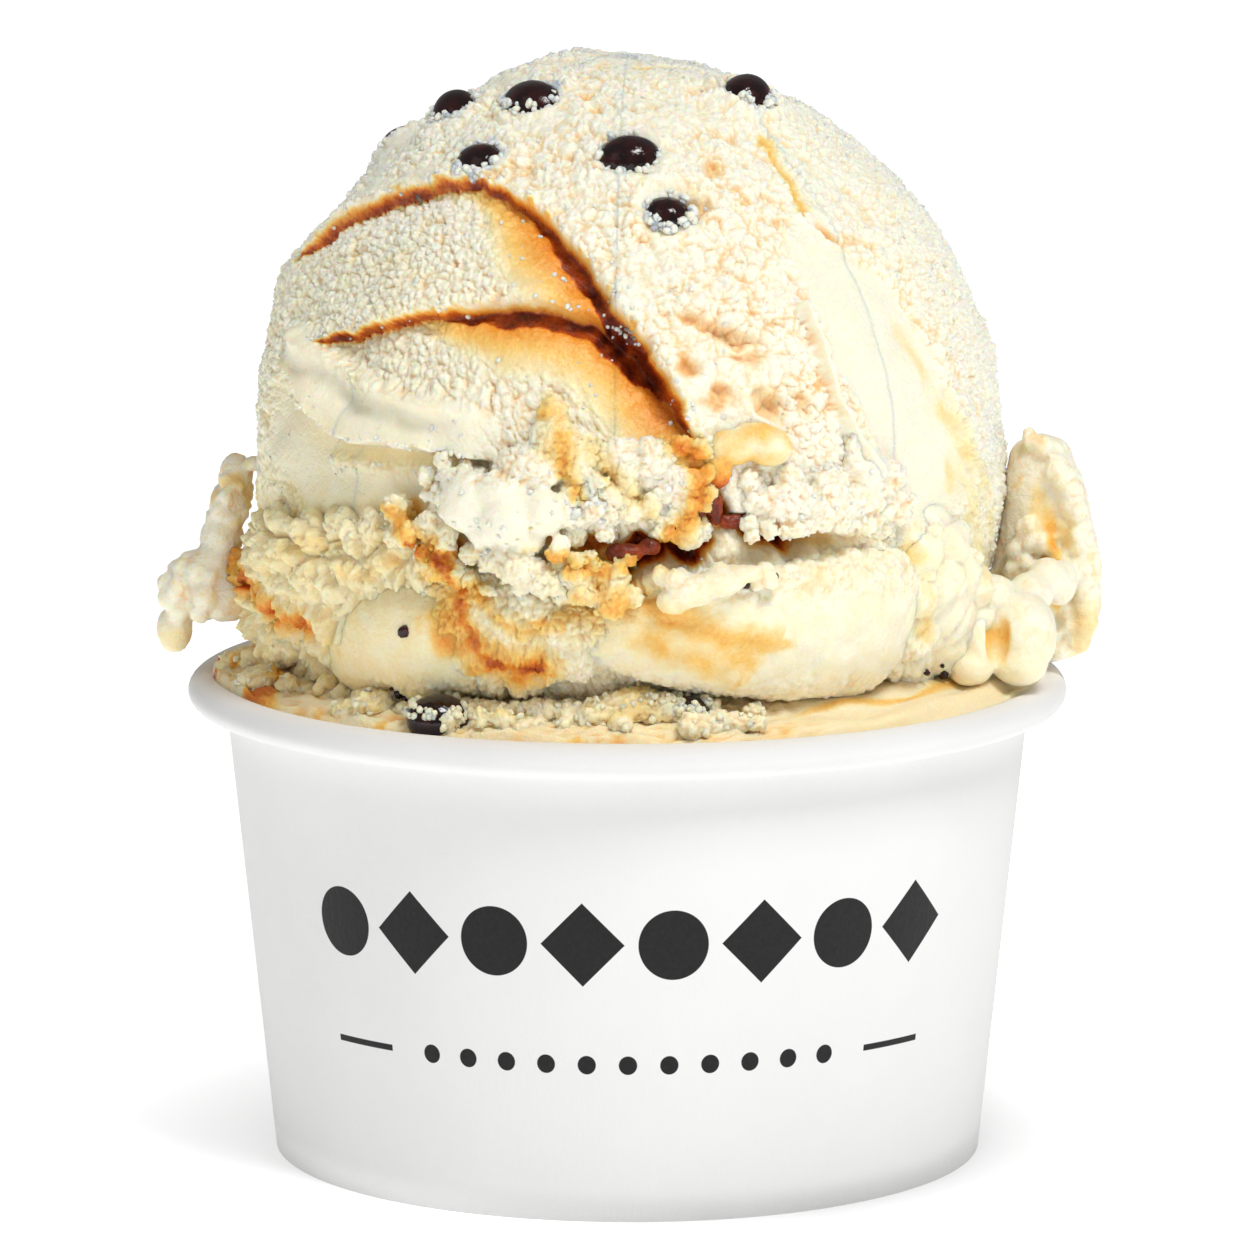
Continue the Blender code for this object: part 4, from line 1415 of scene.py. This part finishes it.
# %% Round drop
drop_blobs = [
    ((40.6, -13.6, 56.4), (3.6, 4.0, 4.4), 0),
    ((40.2, -14.6, 53.6), (3.0, 3.4, 2.5), 0),
    ((36.0, -15.6, 56.0), (1.6, 2.8, 4.0), 0),
    ((35.2, -16.6, 53.4), (2.4, 2.4, 1.9), 0),
    ((37.6, -12.0, 60.0), (2.8, 3.0, 2.4), 0),
    ((41.6, -10.0, 60.0), (2.4, 3.0, 2.2), 0),
    ((43.4, -7.6, 61.2), (2.1, 2.6, 2.2), 0),
    ((44.8, -5.6, 60.4), (2.0, 2.4, 2.4), 0),
]
drop = block_out("dollop_drop_right", drop_blobs, 0.28, 6)
places = get_places(drop)
dent = np.linalg.norm((places - (37.9, -17.6, 56.8)) / (1.3, 2.2, 3.2), axis=1)
normals = get_normals(drop)
set_places(drop, places - normals * (1.2 * (1 - rise(dent, 0.3, 1.2)))[:, None])
tint = np.maximum(0.40 * (1 - rise(dent, 0.3, 1.5)), 0.13 * (1 - rise(places[:, 2], 54, 60)))
roughen(drop, 0.05, 0.8, 201, 0.6, soft=0.16, sauce=np.maximum(tint, 0.06), stains=0.0)
finish_piece(drop, GELATO, "gelato", "dollop_front_right")

# %% [markdown]
# ## The fill
#
# The gelato in the cup shows as a ring between the ball and the rim: crumbly at the front and left,
# smoothed at the right, and pressed over the rim at both sides. A torus has the right closed form. Most
# of its rings become the upper surface and the rest its underside, and the height comes from noise.

# %% The fill's ring
FILL_INNER, TOP_SHARE = 24.0, 0.84
fill = primitive(
    bpy.ops.mesh.primitive_torus_add, "gelato_ring", major_segments=680, minor_segments=118,
    major_radius=2 * MM, minor_radius=MM,
)
x, y, z = get_places(fill).T
around = np.degrees(np.arctan2(x, -y))
share = (np.degrees(np.arctan2(z, np.hypot(x, y) - 2)) % 360) / 360
on_top = share < TOP_SHARE
inwards = np.where(on_top, share / TOP_SHARE, (1 - share) / (1 - TOP_SHARE))
beside_left = hill((around + 84) / 24, 1.0)
beside_right = hill((around - 84) / 26, 1.0)
outer = 41.9 + 2.0 * beside_left + 1.9 * beside_right
reach = outer + (FILL_INNER - outer) * inwards
flat = np.stack([np.sin(np.radians(around)), -np.cos(np.radians(around))], axis=1)
level = np.interp(reach, (24, 30, 34, 38, 40.5, 41.9, 44.2), (52.6, 53.2, 52.7, 51.4, 50.7, 50.1, 50.4))
level += (beside_left * 1.2 + beside_right * 0.9) * rise(reach, 34, 40)
ground = np.column_stack([flat * reach[:, None], level])
crumbly_side = rise(around, -125, -110) * (1 - rise(around, 16, 34)) + rise(np.abs(around), 110, 125)
crumbly_side = np.clip(crumbly_side, 0, 1)
relief = crumble(ground, 0.95, 211)
height = level + 0.55 * lumps(ground, 6.5, 212) + 0.30 * lumps(ground, 3.0, 213)
height += (0.60 * crumbly_side + 0.06 * (1 - crumbly_side)) * relief
height += 0.22 * (1 - crumbly_side) * np.sin(reach * 1.6 + 2.0 * lumps(ground, 9, 214))
rim_edge = rise(inwards, 0.0, 0.035)
height = np.where(on_top, 48.6 + (height - 48.6) * rim_edge, 48.0 + 0.6 * (1 - inwards))
set_places(fill, np.column_stack([flat * reach[:, None], height]))
brown = hill((around + 78) / 22, 1.0) * rise(lumps(ground, 4.5, 215), -0.10, 0.30) * rise(reach, 33, 38)
streaks = rise(lumps(ground * (1, 1, 2), 3.4, 216), 0.30, 0.65) * crumbly_side
sauce = np.maximum(0.82 * brown, 0.34 * streaks)
sauce = np.maximum(sauce, 0.34 * hill(reach - 37.5 - 1.5 * lumps(ground, 7, 217), 0.7) * (1 - crumbly_side))
set_attribute(fill, "sauce", sauce)
# Painted shade: a little over the whole fill, more in the creases of its crumbly side.
set_attribute(fill, "pit", 0.15 + 0.85 * rise(-relief, -0.15, 0.9) * crumbly_side)
edit(fill, lambda: (bpy.ops.mesh.select_all(action="SELECT"), bpy.ops.mesh.normals_make_consistent()))
finish_piece(fill, GELATO_FILL, "gelato_fill", "gelato_fill")


# %% Lumps lying on the fill
def on_fill(azimuth, reach, height):
    angle = math.radians(azimuth)
    return (math.sin(angle) * reach, -math.cos(angle) * reach, height)


draw = np.random.default_rng(51)
fill_blobs = [
    (on_fill(1.0, 35.6, 52.6), (4.2, 3.0, 1.9), 0),
    (on_fill(6.0, 36.0, 52.4), (3.0, 2.6, 1.8), 0),
    (on_fill(-4.5, 36.4, 52.0), (2.6, 2.2, 1.6), 0),
    (on_fill(9.5, 37.6, 51.6), (2.0, 1.8, 1.3), 0),
    (on_fill(-84.0, 40.6, 51.4), (2.4, 3.0, 1.6), 0),
    (on_fill(-70.0, 40.2, 51.4), (2.6, 2.4, 1.6), 0),
]
for _ in range(70):
    turned = draw.uniform(-88, 20)
    place = on_fill(turned, draw.uniform(35.5, 40.6), draw.uniform(50.8, 52.2))
    fill_blobs.append((place, draw.uniform(0.7, 1.6, 3), turned))
for turned in np.arange(-34, -2, 3.1):
    fill_blobs.append((on_fill(turned, 36.4, 52.4), (1.5, 1.1, 0.9), turned))
for _ in range(40):
    turned = draw.uniform(110, 250)
    place = on_fill(turned, draw.uniform(36, 40.4), draw.uniform(50.8, 52.0))
    fill_blobs.append((place, draw.uniform(0.7, 1.6, 3), turned))
fill_heap = block_out("fill_lumps", fill_blobs, 0.30, 2)
places = get_places(fill_heap)
around = np.degrees(np.arctan2(places[:, 0], -places[:, 1]))
tan = 0.24 * hill((around - 1) / 9, 1.0) * rise(lumps(places, 3.0, 222), -0.6, 0.2)
brown = 0.74 * hill((around + 77) / 12, 1.0) * rise(lumps(places, 3.2, 223), -0.1, 0.5)
roughen(fill_heap, 0.48, 0.7, 221, 0.0, soft=0.35, sauce=np.maximum(tan, brown))
finish_piece(fill_heap, GELATO_FILL, "gelato_fill", "gelato_fill")

# %% [markdown]
# ## Chocolate pearls
#
# Each pearl stands where its CAD node is. The node's own vertices tell its middle, the directions of
# its axes and its half-sizes, and a smooth sphere is laid along them with a slight unevenness.


# %% Pearls
def add_pearl(node):
    piece = primitive(bpy.ops.mesh.primitive_uv_sphere_add, "glossy_" + node, segments=56, ring_count=36)
    unit = get_places(piece) * MM
    corners = node_corners(node)
    middle = (corners.min(axis=0) + corners.max(axis=0)) / 2
    axes = np.linalg.svd(corners - middle, full_matrices=False)[2]
    halves = np.abs((corners - middle) @ axes.T).max(axis=0)
    places = middle + (unit * halves) @ axes
    outwards = unit @ axes
    set_places(piece, places + outwards * 0.10 * lumps(places, 2.6, 231)[:, None])
    edit(piece, lambda: (bpy.ops.mesh.select_all(action="SELECT"), bpy.ops.mesh.normals_make_consistent()))
    finish_piece(piece, PEARL, "pearl", node)
    return middle, halves


pearls = {name: add_pearl(name) for name in sorted(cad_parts) if name.startswith("pearl")}

# %% [markdown]
# ## Loose crumbs
#
# What makes torn gelato look cold and dry is the thousands of crumbs that stand off it, as teeth along
# every torn edge and as dust on the rough parts. One crumb is an uneven ball of a few dozen faces. It
# is copied at random sizes and turns onto vertices that are drawn from the finished pieces.


# %% Scatter crumbs
def crumb_shape(draw):
    """Vertices and faces of one crumb of radius 1."""
    seed = primitive(bpy.ops.mesh.primitive_ico_sphere_add, "crumb_seed", subdivisions=2, radius=1.0)
    places = np.array([vertex.co for vertex in seed.data.vertices])
    faces = np.array([face.vertices[:] for face in seed.data.polygons])
    bpy.data.objects.remove(seed)
    return places * draw.uniform(0.8, 1.2, (len(places), 1)), faces


def random_turns(draw, count):
    """Rotation matrices, one per crumb."""
    quarter = draw.normal(size=(count, 4))
    w, x, y, z = (quarter / np.linalg.norm(quarter, axis=1, keepdims=True)).T
    rows = [
        [1 - 2 * (y * y + z * z), 2 * (x * y - w * z), 2 * (x * z + w * y)],
        [2 * (x * y + w * z), 1 - 2 * (x * x + z * z), 2 * (y * z - w * x)],
        [2 * (x * z - w * y), 2 * (y * z + w * x), 1 - 2 * (x * x + y * y)],
    ]
    return np.moveaxis(np.array(rows), 2, 0)


def scatter(name, spots, sizes, seed, material, slot, sauce=None, *nodes):
    """One mesh of crumbs at spots in mm."""
    draw = np.random.default_rng(seed)
    shape, faces = crumb_shape(draw)
    stretch = draw.uniform(0.7, 1.3, (len(spots), 1, 3))
    turned = np.einsum("nij,nkj->nki", random_turns(draw, len(spots)), shape[None] * stretch)
    places = (spots[:, None] + turned * sizes[:, None, None]).reshape(-1, 3)
    corners = (faces[None] + (np.arange(len(spots)) * len(shape))[:, None, None]).reshape(-1, 3)
    mesh = bpy.data.meshes.new(name)
    mesh.from_pydata((places * MM).tolist(), [], corners.tolist())
    piece = bpy.data.objects.new(name, mesh)
    bpy.context.scene.collection.objects.link(piece)
    if sauce is not None:
        set_attribute(piece, "sauce", np.repeat(sauce, len(shape)))
    finish_piece(piece, material, slot, *nodes)
    return piece


def drawn_spots(piece_names, count, seed, wanted):
    """Vertices of pieces, drawn with a chance that wanted(places about the ball's middle) gives."""
    draw = np.random.default_rng(seed)
    places = np.vstack([get_places(bpy.data.objects[name]) for name in piece_names])
    chance = wanted(places - CENTRE)
    picked = draw.choice(len(places), count, replace=False, p=chance / chance.sum())
    return places[picked]


def edges_and_rough(places):
    """Torn edges are the likeliest places for crumbs, then rough stretches."""
    azimuth, elevation = directions(places)
    chance = 0.05 + 0.25 * rise(azimuth, 62, 75) * (1 - rise(azimuth, 140, 160))
    for path, above in ((LIP, 0.1), (RIPPLE_1, 0.5), (RIPPLE_2, 0.4), (COLUMN_CRUMBS, 0.0)):
        chance = np.maximum(chance, 1.0 * hill(beside(places, path)[1] - above, 0.5))
    patch = np.abs(beside(places, SCRAPED)[1])
    return chance * (0.02 + 0.98 * rise(patch, 6.0, 8.0)) * (elevation > -34)


spots = drawn_spots(WEDGES, 1200, 61, edges_and_rough)
sizes = np.random.default_rng(62).uniform(0.10, 0.28, len(spots))
scatter("crumbs_ball", spots, sizes, 63, GELATO, "gelato", stains_and_shade(spots - CENTRE))
torn_pieces = ["lobe_crest_left", "lobe_foot_left", "heap_front", "heap_crumbs", "torn_edge_right"]
spots = drawn_spots(torn_pieces, 700, 64, lambda places: np.ones(len(places)))
sizes = np.random.default_rng(65).uniform(0.12, 0.30, len(spots))
scatter("crumbs_torn", spots, sizes, 66, GELATO, "gelato", stains_and_shade(spots - CENTRE))
spots = drawn_spots(["fill_lumps"], 500, 67, lambda places: np.ones(len(places)))
sizes = np.random.default_rng(68).uniform(0.18, 0.45, len(spots))
scatter("crumbs_fill", spots, sizes, 69, GELATO_FILL, "gelato_fill")

# %% [markdown]
# Each pearl was pushed into the gelato, which left a collar of crumbs round it, thickest below.


# %% Collars round the pearls
def collar(name, chosen, count, seed, material, slot):
    draw = np.random.default_rng(seed)
    spots = []
    for node in chosen:
        middle, halves = pearls[node]
        out = middle - CENTRE if name == "collar_ball" else np.array([0.0, 0.0, 1.0])
        out = out / np.linalg.norm(out)
        side = np.cross(out, (0.31, 0.9, 0.3))
        side /= np.linalg.norm(side)
        other = np.cross(out, side)
        for _ in range(count):
            angle = draw.uniform(0, 2 * math.pi)
            tangent = math.cos(angle) * side + math.sin(angle) * other
            low = 0.5 - 0.5 * tangent[2]
            lift = draw.uniform(0.3, 1.1 + 0.9 * low)
            reach = np.median(halves) * math.sqrt(1 - (lift / 3.0) ** 2) * draw.uniform(0.92, 1.25)
            spots.append(middle + tangent * reach + out * lift)
    spots = np.array(spots)
    sizes = draw.uniform(0.20, 0.58, len(spots))
    scatter(name, spots, sizes, seed + 1, material, slot)
    return len(spots)


ball_pearls = [node for node in pearls if "ball" in node]
print("collar crumbs", collar("collar_ball", ball_pearls, 60, 71, GELATO, "gelato"))
fill_pearls = sorted(set(pearls) - set(ball_pearls))
print("collar crumbs", collar("collar_fill", fill_pearls, 50, 73, GELATO_FILL, "gelato_fill"))

# %% [markdown]
# A few dark grains of chocolate lie in the lobes. Each is put where a lobe's outermost vertex lies in
# the wanted direction.


# %% Dark grains
GRAINS = (  # azimuth, elevation, size in mm
    (-33.0, -19.2, 0.55), (-39.0, -31.0, 0.40), (-37.5, -31.6, 0.35), (-38.4, -30.2, 0.30),
    (57.0, -32.0, 0.45), (59.5, -31.4, 0.55), (61.0, -32.4, 0.40), (55.5, -31.0, 0.35), (58.2, -30.2, 0.3),
    (18.5, -6.6, 0.50), (16.8, -7.0, 0.40), (124.0, -22.0, 0.5), (206.0, -19.0, 0.5),
)
lobe_places = np.vstack([get_places(bpy.data.objects[name]) for name in LOBES]) - CENTRE
spots = []
for azimuth, elevation, size in GRAINS:
    near = np.linalg.norm(lobe_places - on_ball(azimuth, elevation, np.array(BALL + 3.0)), axis=1)
    chosen = np.argsort(near)[:40]
    spots.append(lobe_places[chosen[np.argmax(np.linalg.norm(lobe_places[chosen], axis=1))]] + CENTRE)
scatter("dark_grains", np.array(spots), np.array([size for *_, size in GRAINS]), 91, PEARL, "pearl")


# %% [markdown]
# ## Floor
#
# A product picture stands on paper that is lit until it's white, so that only the soft shadow at the
# foot is left. The floor does this with a little light of its own: it isn't part of the object, only of
# the stage. Its glow is weaker close round the foot, and weakest on the right, so the shadow at the foot
# is partly cast and partly painted.

# %% Floor
floor = primitive(bpy.ops.mesh.primitive_plane_add, "floor", size=8.0)
floor_finish = Finish("floor", Base_Color=(0.8, 0.8, 0.8, 1.0), Roughness=0.9, Emission_Strength=1.0)
# Painted shadow: the floor's glow is low close round the foot, lowest on the right, and full from 64 mm
# out.
beyond_painted_shadow = floor_finish.place().length().between(0.036, 0.064)
sideways = {0: floor_finish.place(), 1: (1.0, 0.0, 0.0)}
rightwards = floor_finish.add("ShaderNodeVectorMath", {"operation": "DOT_PRODUCT"}, sideways, "Value")
near = floor_finish.mix(rightwards.between(-0.02, 0.02), (0.42, 0.42, 0.42), (0.06, 0.06, 0.06))
floor_finish.feed("Emission Color", floor_finish.mix(beyond_painted_shadow, near, (0.80, 0.80, 0.80)))
floor.data.materials.append(floor_finish.material)
floor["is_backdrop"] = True

size = [[list(corner) for corner in box] for box in (cad_box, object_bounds())]
